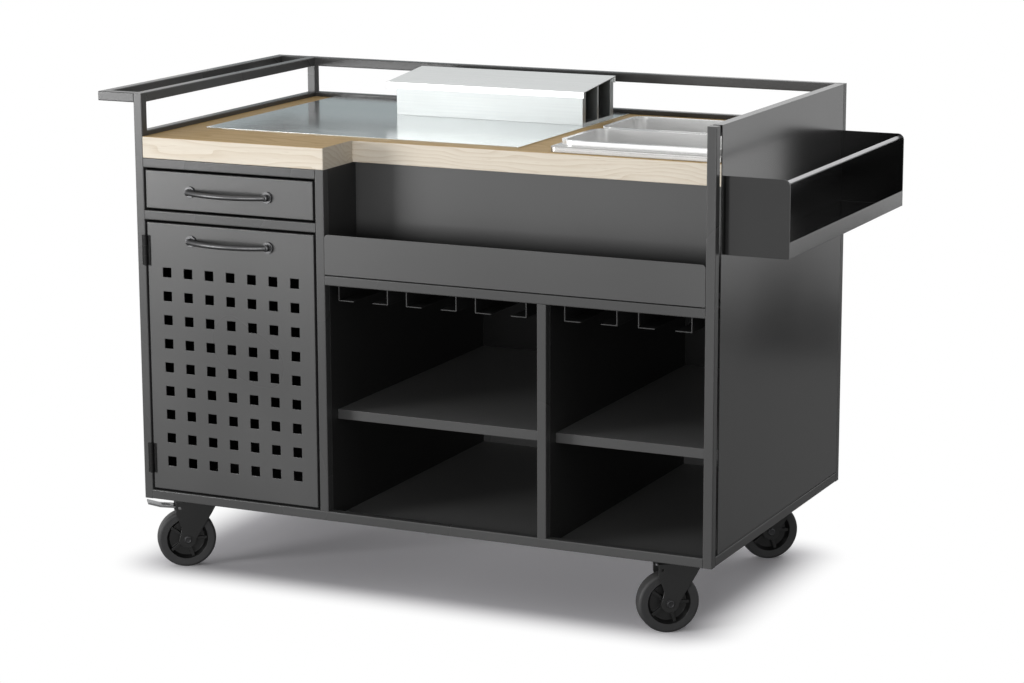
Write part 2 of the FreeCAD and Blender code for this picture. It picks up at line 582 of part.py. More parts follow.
# Caddy with two troughs, open ends and a top that slopes to the front, and the lid that slides along it
PLATE_TOP = f"({TOP_HEIGHT} + plate_thick)"
CADDY_LEFT = f"({PLATE_RIGHT} - caddy_end_gap - caddy_length)"
CADDY_FRONT = f"({PLATE_BACK} - caddy_back_gap - caddy_depth)"
CADDY_HIGH = "(caddy_height + caddy_rise)"
caddy = folded_piece("caddy_box", "x",
                     (("0", "0"), ("caddy_depth", "0"), ("caddy_depth", CADDY_HIGH), ("0", "caddy_height")),
                     "caddy_length", CADDY_LEFT, CADDY_FRONT, PLATE_TOP)
CELL = "((caddy_depth - caddy_middle) / 2 - caddy_wall)"
SECOND_CELL = "((caddy_depth + caddy_middle) / 2)"
cells = sketch_on(caddy, "XY_Plane", "caddy_wall")
for front in ("caddy_wall", SECOND_CELL):
    rectangle(cells, "caddy_wall", front, "caddy_length - 2 * caddy_wall", CELL)
pocket(caddy, cells, CADDY_HIGH, back=True)
ends = sketch_on(caddy, "YZ_Plane")
WINDOW = "((caddy_depth - caddy_middle) / 2 - caddy_return)"
for front in ("caddy_return", SECOND_CELL):
    rectangle(ends, front, "caddy_sill", WINDOW, CADDY_HIGH)
pocket(caddy, ends, "caddy_length", back=True)
LID_WIDTH = "(caddy_depth + 2 * lid_gap + 2 * sheet)"
SLOPE = "(caddy_rise / caddy_depth)"
LID_UNDER = f"(lid_lip - sheet - {SLOPE} * lid_gap)"
LID_UNDER_BACK = f"(lid_lip - sheet + {SLOPE} * (caddy_depth + lid_gap))"
folded_piece("caddy_lid", "x",
             (("0", "0"), ("sheet", "0"), ("sheet", LID_UNDER), (f"{LID_WIDTH} - sheet", LID_UNDER_BACK),
              (f"{LID_WIDTH} - sheet", "caddy_rise"), (LID_WIDTH, "caddy_rise"),
              (LID_WIDTH, f"{LID_UNDER_BACK} + sheet + {SLOPE} * sheet"),
              ("0", f"{LID_UNDER} + sheet - {SLOPE} * sheet")),
             "lid_length", f"{CADDY_LEFT} - lid_over", f"{CADDY_FRONT} - lid_gap - sheet",
             f"{PLATE_TOP} + caddy_height + sheet - lid_lip")

# Pan surround, a shallow tray turned over, with an opening for each pan
surround = new_body("pan_surround")
tray = sketch_on(surround, "XY_Plane")
rounded(tray, "0", "0", SURROUND_LONG, SURROUND_DEEP, "surround_round")
pad(surround, tray, "surround_rise")
round_edges(surround, "surround_edge", lambda edge: near(edge, 2, "surround_rise"))
hollow = sketch_on(surround, "XY_Plane")
rounded(hollow, "sheet", "sheet", f"{SURROUND_LONG} - 2 * sheet", f"{SURROUND_DEEP} - 2 * sheet",
        "surround_round - sheet")
pocket(surround, hollow, "surround_rise - sheet", back=True)
mouths = sketch_on(surround, "XY_Plane")
MOUTH_EDGE = "(pan_rim - pan_fit)"
for index in range(2):
    rounded(mouths, f"pan_side + {MOUTH_EDGE}",
            f"pan_start + {index} * (pan_short + pan_gap) + {MOUTH_EDGE}", f"pan_long - 2 * {MOUTH_EDGE}",
            f"pan_short - 2 * {MOUTH_EDGE}", f"pan_round - {MOUTH_EDGE}")
pocket(surround, mouths, "surround_rise", back=True)
place(surround, SURROUND_LEFT, "surround_front", TOP_HEIGHT)

# Pans: deep drawn well, flat rim and turned-down edge standing on the surround
SURROUND_TOP = f"({TOP_HEIGHT} + surround_rise)"
for index, name in enumerate(("pan_front", "pan_back")):
    pan = new_body(name)
    well_out = "(pan_rim - pan_sheet)"
    rim = sketch_on(pan, "XY_Plane")
    rounded(rim, "0", "0", "pan_long", "pan_short", "pan_round")
    pad(pan, rim, "pan_lip")
    under = sketch_on(pan, "XY_Plane")
    rounded(under, "pan_sheet", "pan_sheet", "pan_long - 2 * pan_sheet", "pan_short - 2 * pan_sheet",
            "pan_round - pan_sheet")
    pocket(pan, under, "pan_lip - pan_sheet", back=True)
    body_out = sketch_on(pan, "XY_Plane", "pan_lip - pan_deep")
    rounded(body_out, well_out, well_out, f"pan_long - 2 * {well_out}", f"pan_short - 2 * {well_out}",
            f"pan_round - {well_out}")
    pad(pan, body_out, "pan_deep")
    inside = sketch_on(pan, "XY_Plane", "pan_lip - pan_deep + pan_sheet")
    rounded(inside, "pan_rim", "pan_rim", "pan_long - 2 * pan_rim", "pan_short - 2 * pan_rim",
            "pan_round - pan_rim")
    pocket(pan, inside, "pan_deep", back=True)
    round_edges(pan, "pan_base_round - pan_sheet",
                lambda edge: near(edge, 2, "pan_lip - pan_deep + pan_sheet"))
    round_edges(pan, "pan_base_round", lambda edge: near(edge, 2, "pan_lip - pan_deep"))
    place(pan, PAN_LEFT, f"{PAN_FRONT} + {index} * (pan_short + pan_gap)", SURROUND_TOP)


def folded_front(label, height, z):
    """Drawer front or door: a face with edges folded back."""
    body = new_body(label)
    face = sketch_on(body, "XZ_Plane")
    rectangle(face, "0", "0", FRONT_WIDTH, height)
    pad(body, face, "front_fold", back=True)
    round_edges(body, "front_round", lambda edge: near(edge, 1, "0"))
    inside = sketch_on(body, "XZ_Plane", "0 - front_fold")
    rectangle(inside, "sheet", "sheet", f"{FRONT_WIDTH} - 2 * sheet", f"{height} - 2 * sheet")
    pocket(body, inside, "front_fold - sheet", back=True)
    place(body, FRONT_LEFT, "0", z)
    return body


# Drawer front and door; the door's square holes are one hole repeated both ways
folded_front("drawer_front", DRAWER_HIGH, DRAWER_LOW)
door = folded_front("door", DOOR_HIGH, DOOR_LOW)
hole = sketch_on(door, "XZ_Plane")
HOLES_ACROSS = "((hole_columns - 1) * hole_pitch)"
rectangle(hole, f"({FRONT_WIDTH} - {HOLES_ACROSS} - hole_side) / 2", "hole_start", "hole_side", "hole_side")
punched = pocket(door, hole, "sheet")
holes = door.newObject("PartDesign::LinearPattern", "door_holes")
holes.Originals = [punched]
holes.Direction = (hole, ["H_Axis"])
holes.Direction2 = (hole, ["V_Axis"])
bind(holes, "Length", HOLES_ACROSS)
bind(holes, "Occurrences", "hole_columns")
bind(holes, "Length2", "(hole_rows - 1) * hole_pitch")
bind(holes, "Occurrences2", "hole_rows")
door.Tip = holes

# Drawer box behind the drawer front, and the two angles that it runs on
DRAWER_BOX_LEFT = f"({FRONT_LEFT} + drawer_side_gap)"
DRAWER_BOX_WIDE = f"({FRONT_WIDTH} - 2 * drawer_side_gap)"
DRAWER_BOX_LOW = f"({DRAWER_LOW} + drawer_raise)"
drawer_box = flat_piece("drawer_box", (DRAWER_BOX_WIDE, "drawer_long", "drawer_deep"),
                        DRAWER_BOX_LEFT, "sheet", DRAWER_BOX_LOW)
tray_inside = sketch_on(drawer_box, "XY_Plane", "sheet")
rectangle(tray_inside, "sheet", "sheet", f"{DRAWER_BOX_WIDE} - 2 * sheet", "drawer_long - 2 * sheet")
pocket(drawer_box, tray_inside, "drawer_deep", back=True)
runners = new_body("drawer_runners")
angles = sketch_on(runners, "XZ_Plane")
RUN_FAR = f"({CABINET_RIGHT} - panel_recess - 2 * sheet)"
outline(angles, (("0", "0"), ("runner_width", "0"), ("runner_width", "sheet"), ("sheet", "sheet"),
                 ("sheet", "runner_height"), ("0", "runner_height")))
outline(angles, ((RUN_FAR, "0"), (RUN_FAR, "runner_height"), (f"{RUN_FAR} - sheet", "runner_height"),
                 (f"{RUN_FAR} - sheet", "sheet"), (f"{RUN_FAR} - runner_width", "sheet"),
                 (f"{RUN_FAR} - runner_width", "0")))
pad(runners, angles, "runner_long", back=True)
place(runners, "panel_recess + sheet", "runner_start", f"{DRAWER_BOX_LOW} - fit - sheet")

# Bow handles: a curved bar between two round feet
BAR_OUT = "(bow_reach - bow_bar / 2)"
SAG = f"({BAR_OUT} - bow_neck_reach + bow_round)"
BEND_RADIUS = f"((bow_span * bow_span / 4 + {SAG} * {SAG}) / (2 * {SAG}))"
for name, height in (("drawer_handle", f"{DRAWER_LOW} + {DRAWER_HIGH} / 2"),
                     ("door_handle", f"{DOOR_LOW} + {DOOR_HIGH} - door_bow_drop")):
    handle = new_body(name)
    feet = sketch_on(handle, "XZ_Plane")
    necks = sketch_on(handle, "XZ_Plane")
    for middle in ("0 - bow_span / 2", "bow_span / 2"):
        disc(feet, middle, "0", "bow_foot / 2")
        disc(necks, middle, "0", "bow_neck / 2")
    pad(handle, feet, "bow_foot_thick")
    pad(handle, necks, "bow_neck_reach")
    round_edges(handle, "bow_round", lambda edge: near(edge, 1, "0 - bow_neck_reach"))
    bar = sketch_on(handle, "YZ_Plane")
    disc(bar, f"0 - {BAR_OUT}", "0", "bow_bar / 2")
    axis_line(bar, f"{BEND_RADIUS} - {BAR_OUT}")
    bow = handle.newObject("PartDesign::Revolution", f"{name}_bow")
    bow.Profile = bar
    bow.ReferenceAxis = (bar, ["Axis0"])
    bow.Midplane = True
    bind(bow, "Angle", f"2 * asin(bow_span / 2 / {BEND_RADIUS})")
    place(handle, FRONT_MIDDLE, "0", height)

# Butt hinges on the face of the frame: outer barrels and pin on the post, middle barrel on the door
HINGE_X = "(tube + front_gap / 2)"
HINGE_Y = "(0 - hinge_barrel / 2)"
BARREL = "(hinge_height / 3)"
BARREL_SIDE = "(hinge_barrel / 2 + fit)"


def block(x, y, z, size):
    item = doc.addObject("Part::Box", "hinge_block")
    for prop, text in zip(("Length", "Width", "Height"), size):
        bind(item, prop, text)
    place(item, x, y, z)
    return item


def rod(radius, height, z):
    item = doc.addObject("Part::Cylinder", "hinge_rod")
    bind(item, "Radius", radius)
    bind(item, "Height", height)
    place(item, HINGE_X, HINGE_Y, z)
    return item


def join(items):
    joined = doc.addObject("Part::MultiFuse", "hinge_join")
    joined.Shapes = items
    joined.Refine = True
    return joined


frame_leaves = []
door_leaves = []
UPPER_HINGE = f"({DOOR_LOW} + {DOOR_HIGH} - hinge_high_inset - hinge_height)"
for low in (f"({DOOR_LOW} + hinge_low_inset)", UPPER_HINGE):
    upper = f"{low} + 2 * {BARREL} + fit"
    end_high = f"{BARREL} - fit"
    pieces = [block(f"{HINGE_X} - hinge_frame_reach", "0 - hinge_leaf", low,
                    (f"hinge_frame_reach - {BARREL_SIDE}", "hinge_leaf", "hinge_height"))]
    for z in (low, upper):
        pieces.append(block(f"{HINGE_X} - {BARREL_SIDE} - fit", "0 - hinge_leaf", z,
                            (f"{BARREL_SIDE} + fit", "hinge_leaf", end_high)))
        pieces.append(rod("hinge_barrel / 2", end_high, z))
    pieces.append(rod("hinge_pin / 2", "hinge_height", low))
    frame_leaves.append(join(pieces))
    middle = f"{low} + {BARREL}"
    solid = join([block(f"{HINGE_X} + {BARREL_SIDE}", "0 - hinge_leaf", low,
                        (f"hinge_door_reach - {BARREL_SIDE}", "hinge_leaf", "hinge_height")),
                  block(HINGE_X, "0 - hinge_leaf", middle, (f"{BARREL_SIDE} + fit", "hinge_leaf", BARREL)),
                  rod("hinge_barrel / 2", BARREL, middle)])
    leaf = doc.addObject("Part::Cut", "hinge_bored")
    leaf.Base = solid
    leaf.Tool = rod("hinge_pin / 2 + run_fit", "hinge_height", low)
    door_leaves.append(leaf)
for label, links in (("hinge_frame_leaves", frame_leaves), ("hinge_door_leaves", door_leaves)):
    pair = doc.addObject("Part::Compound", label)
    pair.Label = label
    pair.Links = links
    nodes[label] = pair

# Rack on the right end: floor with an outer lip, two ends, and a round bar along the top
RACK_FRONT = f"({PANEL_FRONT} + rack_front_inset)"
RACK_LONG = f"({POST_BACK} - rack_back_inset - {RACK_FRONT})"
RACK_LOW = "(frame_height - rack_drop - rack_height)"
rack = folded_piece("rack_body", "y",
                    (("0", "0"), ("rack_depth", "0"), ("rack_depth", "rack_lip"),
                     ("rack_depth - sheet", "rack_lip"), ("rack_depth - sheet", "sheet"), ("0", "sheet")),
                    RACK_LONG, "frame_width", RACK_FRONT, RACK_LOW)
for offset in ("0", f"sheet - {RACK_LONG}"):
    end_plate = sketch_on(rack, "XZ_Plane", offset)
    rectangle(end_plate, "0", "0", "rack_depth", "rack_height")
    pad(rack, end_plate, "sheet", back=True)
round_edges(rack, "rack_round",
            lambda edge: straight(edge, 1) and near(edge, 0, "rack_depth") and near(edge, 2, "rack_height"))
rack_bar = new_body("rack_bar")
bar_round = sketch_on(rack_bar, "XZ_Plane")
disc(bar_round, "0", "0", "rack_bar_wide / 2")
pad(rack_bar, bar_round, f"{RACK_LONG} - 2 * sheet", back=True)
place(rack_bar, "frame_width + rack_depth - rack_bar_inset", f"{RACK_FRONT} + sheet",
      f"{RACK_LOW} + rack_height - rack_bar_drop")

# Caster plates under the floor, each with the bearing that its fork turns in: one repeated at four corners
plates = new_body("caster_plates")
top_plate = sketch_on(plates, "XY_Plane", "0 - caster_plate_thick")
rounded(top_plate, "0 - caster_plate_long / 2", "0 - caster_plate_wide / 2", "caster_plate_long",
        "caster_plate_wide", "plate_round")
pad(plates, top_plate, "caster_plate_thick")
race = sketch_on(plates, "XY_Plane", "0 - caster_plate_thick - race_high")
disc(race, "0", "0", "race_wide / 2")
pad(plates, race, "race_high")
bearing = sketch_on(plates, "XY_Plane", "0 - caster_plate_thick - race_high")
disc(bearing, "0", "0", "king_pin / 2 + run_fit")
pocket(plates, bearing, "caster_plate_thick + race_high - king_gap", back=True)
corners = plates.newObject("PartDesign::LinearPattern", "caster_corners")
corners.TransformMode = "Whole shape"
corners.Direction = (top_plate, ["H_Axis"])
corners.Direction2 = (top_plate, ["V_Axis"])
bind(corners, "Length", "frame_width - 2 * caster_inset")
bind(corners, "Length2", "frame_depth - 2 * caster_inset")
corners.Occurrences = 2
corners.Occurrences2 = 2
plates.Tip = corners
place(plates, "caster_inset", "caster_inset", "0")

# Casters, drawn about their swivel axis with the axle behind it, then turned together
AXLE_BACK = "(0 - caster_trail)"
LEG_OUT = "(fork_inside / 2 + fork_sheet)"
LEG_POINTS = (("fork_front", f"0 - {CROWN_TOP}"), ("fork_front", f"0 - {CROWN_TOP} - fork_front_drop"),
              ("fork_front - fork_front_run", f"0 - {CROWN_TOP} - fork_front_drop - fork_front_fall"),
              (f"{AXLE_BACK} + fork_boss", f"0 - {AXLE_DROP}"),
              (f"{AXLE_BACK} - fork_boss", f"0 - {AXLE_DROP}"),
              (f"{AXLE_BACK} - fork_boss + fork_waist_run", f"0 - {AXLE_DROP} + fork_waist_rise"),
              ("0 - fork_back", f"0 - {CROWN_TOP} - fork_back_drop"), ("0 - fork_back", f"0 - {CROWN_TOP}"))
HUB_HALF = "(fork_inside / 2 - hub_gap)"


def fork_piece(label):
    """Fork: crown with its king pin, and two legs with the axle's and the pedal's holes."""
    body = new_body(label)
    crown = sketch_on(body, "XY_Plane", f"0 - {CROWN_TOP} - fork_sheet")
    rectangle(crown, "0 - fork_back", f"0 - {LEG_OUT}", "fork_front + fork_back", f"2 * {LEG_OUT}")
    pad(body, crown, "fork_sheet")
    for offset in (f"0 - {LEG_OUT}", "fork_inside / 2"):
        leg = sketch_on(body, "XZ_Plane", offset)
        outline(leg, LEG_POINTS)
        pad(body, leg, "fork_sheet")
        boss = sketch_on(body, "XZ_Plane", offset)
        disc(boss, AXLE_BACK, f"0 - {AXLE_DROP}", "fork_boss")
        pad(body, boss, "fork_sheet")
    king = sketch_on(body, "XY_Plane", f"0 - {CROWN_TOP}")
    disc(king, "0", "0", "king_pin / 2")
    pad(body, king, f"{CROWN_TOP} - king_gap - fit")
    bores = sketch_on(body, "XZ_Plane")
    disc(bores, AXLE_BACK, f"0 - {AXLE_DROP}", "axle_thick / 2 + run_fit")
    disc(bores, "0 - pedal_pivot_back", "0 - pedal_pivot_drop", "pedal_pin / 2 + run_fit")
    pocket(body, bores, None, both=True)
    return body


def axle_piece(label):
    """Axle bolt with its head and nut outside the legs."""
    body = new_body(label)
    shank = sketch_on(body, "XZ_Plane")
    disc(shank, AXLE_BACK, f"0 - {AXLE_DROP}", "axle_thick / 2")
    pad(body, shank, f"2 * {LEG_OUT} + axle_head_thick", both=True)
    for offset in (LEG_OUT, f"0 - {LEG_OUT} - axle_head_thick"):
        head = sketch_on(body, "XZ_Plane", offset)
        disc(head, AXLE_BACK, f"0 - {AXLE_DROP}", "axle_head / 2")
        pad(body, head, "axle_head_thick")
    return body


def wheel_piece(label):
    """Wheel with its moulded tyre, a web with ribs and a hub."""
    body = new_body(label)
    half = sketch_on(body, "XY_Plane", f"0 - {AXLE_DROP}")
    steps = (("axle_thick / 2 + run_fit", HUB_HALF), ("hub_radius", HUB_HALF),
             ("hub_radius", "web_thick / 2"), ("recess_radius", "web_thick / 2"),
             ("rim_radius", "tyre_width / 2"), ("wheel_wide / 2", "tyre_width / 2"))
    lower = [(f"{AXLE_BACK} + {radius}", f"0 - {width}") for radius, width in steps]
    upper = [(f"{AXLE_BACK} + {radius}", width) for radius, width in reversed(steps)]
    outline(half, lower + upper)
    axis_line(half, AXLE_BACK)
    turned = body.newObject("PartDesign::Revolution", f"{label}_turned")
    turned.Profile = half
    turned.ReferenceAxis = (half, ["Axis0"])
    turned.Angle = 360
    tread = value("wheel_wide / 2") - value("fit")
    round_edges(body, "tyre_round",
                lambda edge: isinstance(edge.Curve, Part.Circle) and edge.Curve.Radius > tread)
    rib = sketch_on(body, "XY_Plane", f"0 - {AXLE_DROP}")
    rectangle(rib, f"{AXLE_BACK} + hub_radius - fit", "0 - spoke_width / 2",
              "recess_radius - hub_radius + spoke_sink", "spoke_width")
    spoke = pad(body, rib, "spoke_thick", both=True)
    spokes = body.newObject("PartDesign::PolarPattern", f"{label}_spokes")
    spokes.Originals = [spoke]
    spokes.Axis = (half, ["Axis0"])
    spokes.Angle = 360
    bind(spokes, "Occurrences", "spoke_count")
    body.Tip = spokes
    return body


turn = value("caster_turn")
CASTER_FAR_X = "(frame_width - caster_inset)"
CASTER_FAR_Y = "(frame_depth - caster_inset)"
for corner, x, y in (("front_left", "caster_inset", "caster_inset"),
                     ("front_right", CASTER_FAR_X, "caster_inset"),
                     ("back_left", "caster_inset", CASTER_FAR_Y),
                     ("back_right", CASTER_FAR_X, CASTER_FAR_Y)):
    for kind, make in (("fork", fork_piece), ("axle", axle_piece), ("wheel", wheel_piece)):
        place(make(f"caster_{kind}_{corner}"), x, y, "0", turn)

# Brake pedal of the front left caster: hub and pin between the fork's legs, arm with a slot, raised tip
pedal = new_body("brake_pedal")
PIVOT_X = "(0 - pedal_pivot_back)"
PIVOT_Z = "(0 - pedal_pivot_drop)"
BEND_X = f"({PIVOT_X} - pedal_arm)"
BEND_Z = f"({PIVOT_Z} + pedal_arm_rise)"
TIP_X = f"({BEND_X} - pedal_tip)"
TIP_Z = f"({BEND_Z} + pedal_tip_rise)"
HALF_THICK = "(pedal_thick / 2)"
arm = sketch_on(pedal, "XZ_Plane")
outline(arm, ((PIVOT_X, f"{PIVOT_Z} - {HALF_THICK}"), (PIVOT_X, f"{PIVOT_Z} + {HALF_THICK}"),
              (BEND_X, f"{BEND_Z} + {HALF_THICK}"), (TIP_X, f"{TIP_Z} + {HALF_THICK}"),
              (TIP_X, f"{TIP_Z} - {HALF_THICK}"), (BEND_X, f"{BEND_Z} - {HALF_THICK}")))
pad(pedal, arm, "pedal_width", both=True)
for diameter, width in (("pedal_hub", "fork_inside - 4 * fit"), ("pedal_pin", f"2 * {LEG_OUT}")):
    hub = sketch_on(pedal, "XZ_Plane")
    disc(hub, PIVOT_X, PIVOT_Z, f"{diameter} / 2")
    pad(pedal, hub, width, both=True)
slot = sketch_on(pedal, "XY_Plane")
rectangle(slot, f"{BEND_X} + pedal_slot_edge", "0 - pedal_slot_wide / 2",
          "pedal_slot_long", "pedal_slot_wide")
pocket(pedal, slot, "wheel_clearance")
place(pedal, "caster_inset", "caster_inset", "0", turn)

# Check every piece and write its file
doc.recompute()
for item in doc.Objects:
    if "Invalid" in item.State or "Error" in item.State:
        raise RuntimeError(f"{item.Label} does not build: {item.State}")
os.makedirs("parts", exist_ok=True)
for label, item in nodes.items():
    if item.Shape.isNull() or not item.Shape.isValid() or not item.Shape.Solids:
        raise RuntimeError(f"{label} has no valid solid")
    item.Shape.exportStep(f"parts/{label}.step")
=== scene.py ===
"""Dresses the bar cart: powder-coated frame and sheets, wooden worktop, steel inserts and rubber casters."""
import json
import logging
import math
from dataclasses import dataclass
from enum import Enum

import bmesh
import bpy
from mathutils import Euler, Matrix, Vector


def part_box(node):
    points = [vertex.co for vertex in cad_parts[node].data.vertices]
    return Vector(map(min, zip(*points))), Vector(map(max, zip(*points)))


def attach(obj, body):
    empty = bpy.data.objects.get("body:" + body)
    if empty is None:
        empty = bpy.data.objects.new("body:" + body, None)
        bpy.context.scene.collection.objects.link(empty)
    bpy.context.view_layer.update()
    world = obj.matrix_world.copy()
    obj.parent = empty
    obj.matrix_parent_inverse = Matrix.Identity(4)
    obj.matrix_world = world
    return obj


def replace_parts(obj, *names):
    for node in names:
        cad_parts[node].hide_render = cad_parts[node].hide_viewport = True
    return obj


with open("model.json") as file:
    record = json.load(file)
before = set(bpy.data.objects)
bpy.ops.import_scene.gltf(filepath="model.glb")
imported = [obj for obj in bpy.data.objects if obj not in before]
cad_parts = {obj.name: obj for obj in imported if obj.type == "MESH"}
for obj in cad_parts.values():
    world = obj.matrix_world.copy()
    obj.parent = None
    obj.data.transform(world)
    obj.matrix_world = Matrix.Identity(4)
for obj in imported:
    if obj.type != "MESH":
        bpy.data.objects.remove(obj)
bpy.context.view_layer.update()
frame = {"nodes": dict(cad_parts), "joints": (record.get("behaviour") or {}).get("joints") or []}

logging.basicConfig(level=logging.INFO, format="%(message)s")
log = logging.getLogger("bar_cart")

Color = tuple[float, float, float]
Point = tuple[float, float, float]
Profile = tuple[tuple[float, float], ...]
Value = float | Color | bpy.types.NodeSocket
Sockets = dict[str, bpy.types.NodeSocket]

WHITE: Color = (1.0, 1.0, 1.0)


class Slot(Enum):
    """The record's material slot for black metal."""

    BLACK_METAL = "black_metal"


class Direction(Enum):
    """Ways in which steel is brushed, as how densely its streaks lie along x, y and z."""

    ALONG_X = (4.0, 420.0, 420.0)
    ALONG_Y = (420.0, 4.0, 420.0)
    ALONG_Z = (420.0, 420.0, 4.0)


class Wiring:
    """Adds shader nodes to one tree and joins them."""

    def __init__(self, tree: bpy.types.NodeTree) -> None:
        """Keeps the tree that the nodes go into."""
        self.tree = tree

    def feed(self, socket: bpy.types.NodeSocket, value: Value) -> None:
        """Sets a socket to a value, or links another node's output into it.

        Args:
            socket: the input to fill.
            value: a number, a colour, a vector or an output socket.
        """
        if isinstance(value, bpy.types.NodeSocket):
            self.tree.links.new(value, socket)
        elif isinstance(value, tuple) and socket.type == "RGBA":
            socket.default_value = (*value, 1.0)
        else:
            socket.default_value = value

    def feed_row(self, node: bpy.types.Node, values: tuple[Value, ...]) -> None:
        """Fills a node's first inputs in order.

        Args:
            node: the node to fill.
            values: what goes in, one for each input.
        """
        for socket, value in zip(node.inputs, values):
            self.feed(socket, value)

    def node(self, kind: str, settings: dict[str, object] | None = None, **inputs: Value) -> bpy.types.Node:
        """Adds a node.

        Args:
            kind: the node's type name without its "ShaderNode" start.
            settings: properties to set on the node.
            **inputs: values for its inputs, with _ in place of blanks.

        Returns:
            The new node.
        """
        made = self.tree.nodes.new("ShaderNode" + kind)
        for name, setting in (settings or {}).items():
            setattr(made, name, setting)
        for name, value in inputs.items():
            self.feed(made.inputs[name.replace("_", " ")], value)
        return made

    def calc(self, operation: str, *values: Value) -> bpy.types.NodeSocket:
        """Adds a Math node.

        Args:
            operation: what it works out, such as "MULTIPLY".
            *values: its inputs in order.

        Returns:
            Its output.
        """
        made = self.node("Math", {"operation": operation})
        self.feed_row(made, values)
        return made.outputs[0]

    def vector(self, operation: str, *values: Value) -> bpy.types.Node:
        """Adds a Vector Math node.

        Args:
            operation: what it works out, such as "SUBTRACT".
            *values: its inputs in order.

        Returns:
            The node, because some operations give a number and others a vector.
        """
        made = self.node("VectorMath", {"operation": operation})
        self.feed_row(made, values)
        return made

    def spread(self, value: Value, low: float, high: float, to_low: float,
               to_high: float) -> bpy.types.NodeSocket:
        """Maps a value from one range to another and keeps it there.

        Args:
            value: the output to map.
            low: where it starts.
            high: where it ends.
            to_low: what the start becomes.
            to_high: what the end becomes.

        Returns:
            The mapped value.
        """
        made = self.node("MapRange")
        self.feed_row(made, (value, low, high, to_low, to_high))
        return made.outputs[0]

    def blend(self, share: Value, first: Value, second: Value) -> bpy.types.NodeSocket:
        """Mixes two colours.

        Args:
            share: how much of the second colour shows.
            first: the colour at 0.
            second: the colour at 1.

        Returns:
            The mixed colour.
        """
        made = self.node("Mix", {"data_type": "RGBA"})
        for place, entry in ((0, share), (6, first), (7, second)):
            self.feed(made.inputs[place], entry)
        return made.outputs[2]

    def group(self, tree: bpy.types.NodeTree, **inputs: Value) -> bpy.types.Node:
        """Places a shared group.

        Args:
            tree: the group.
            **inputs: values for its inputs, with _ in place of blanks.

        Returns:
            The group's node.
        """
        return self.node("Group", {"node_tree": tree}, **inputs)

    def place(self) -> bpy.types.NodeSocket:
        """Gives the place on the object, in the row frame."""
        return self.node("TexCoord").outputs["Object"]


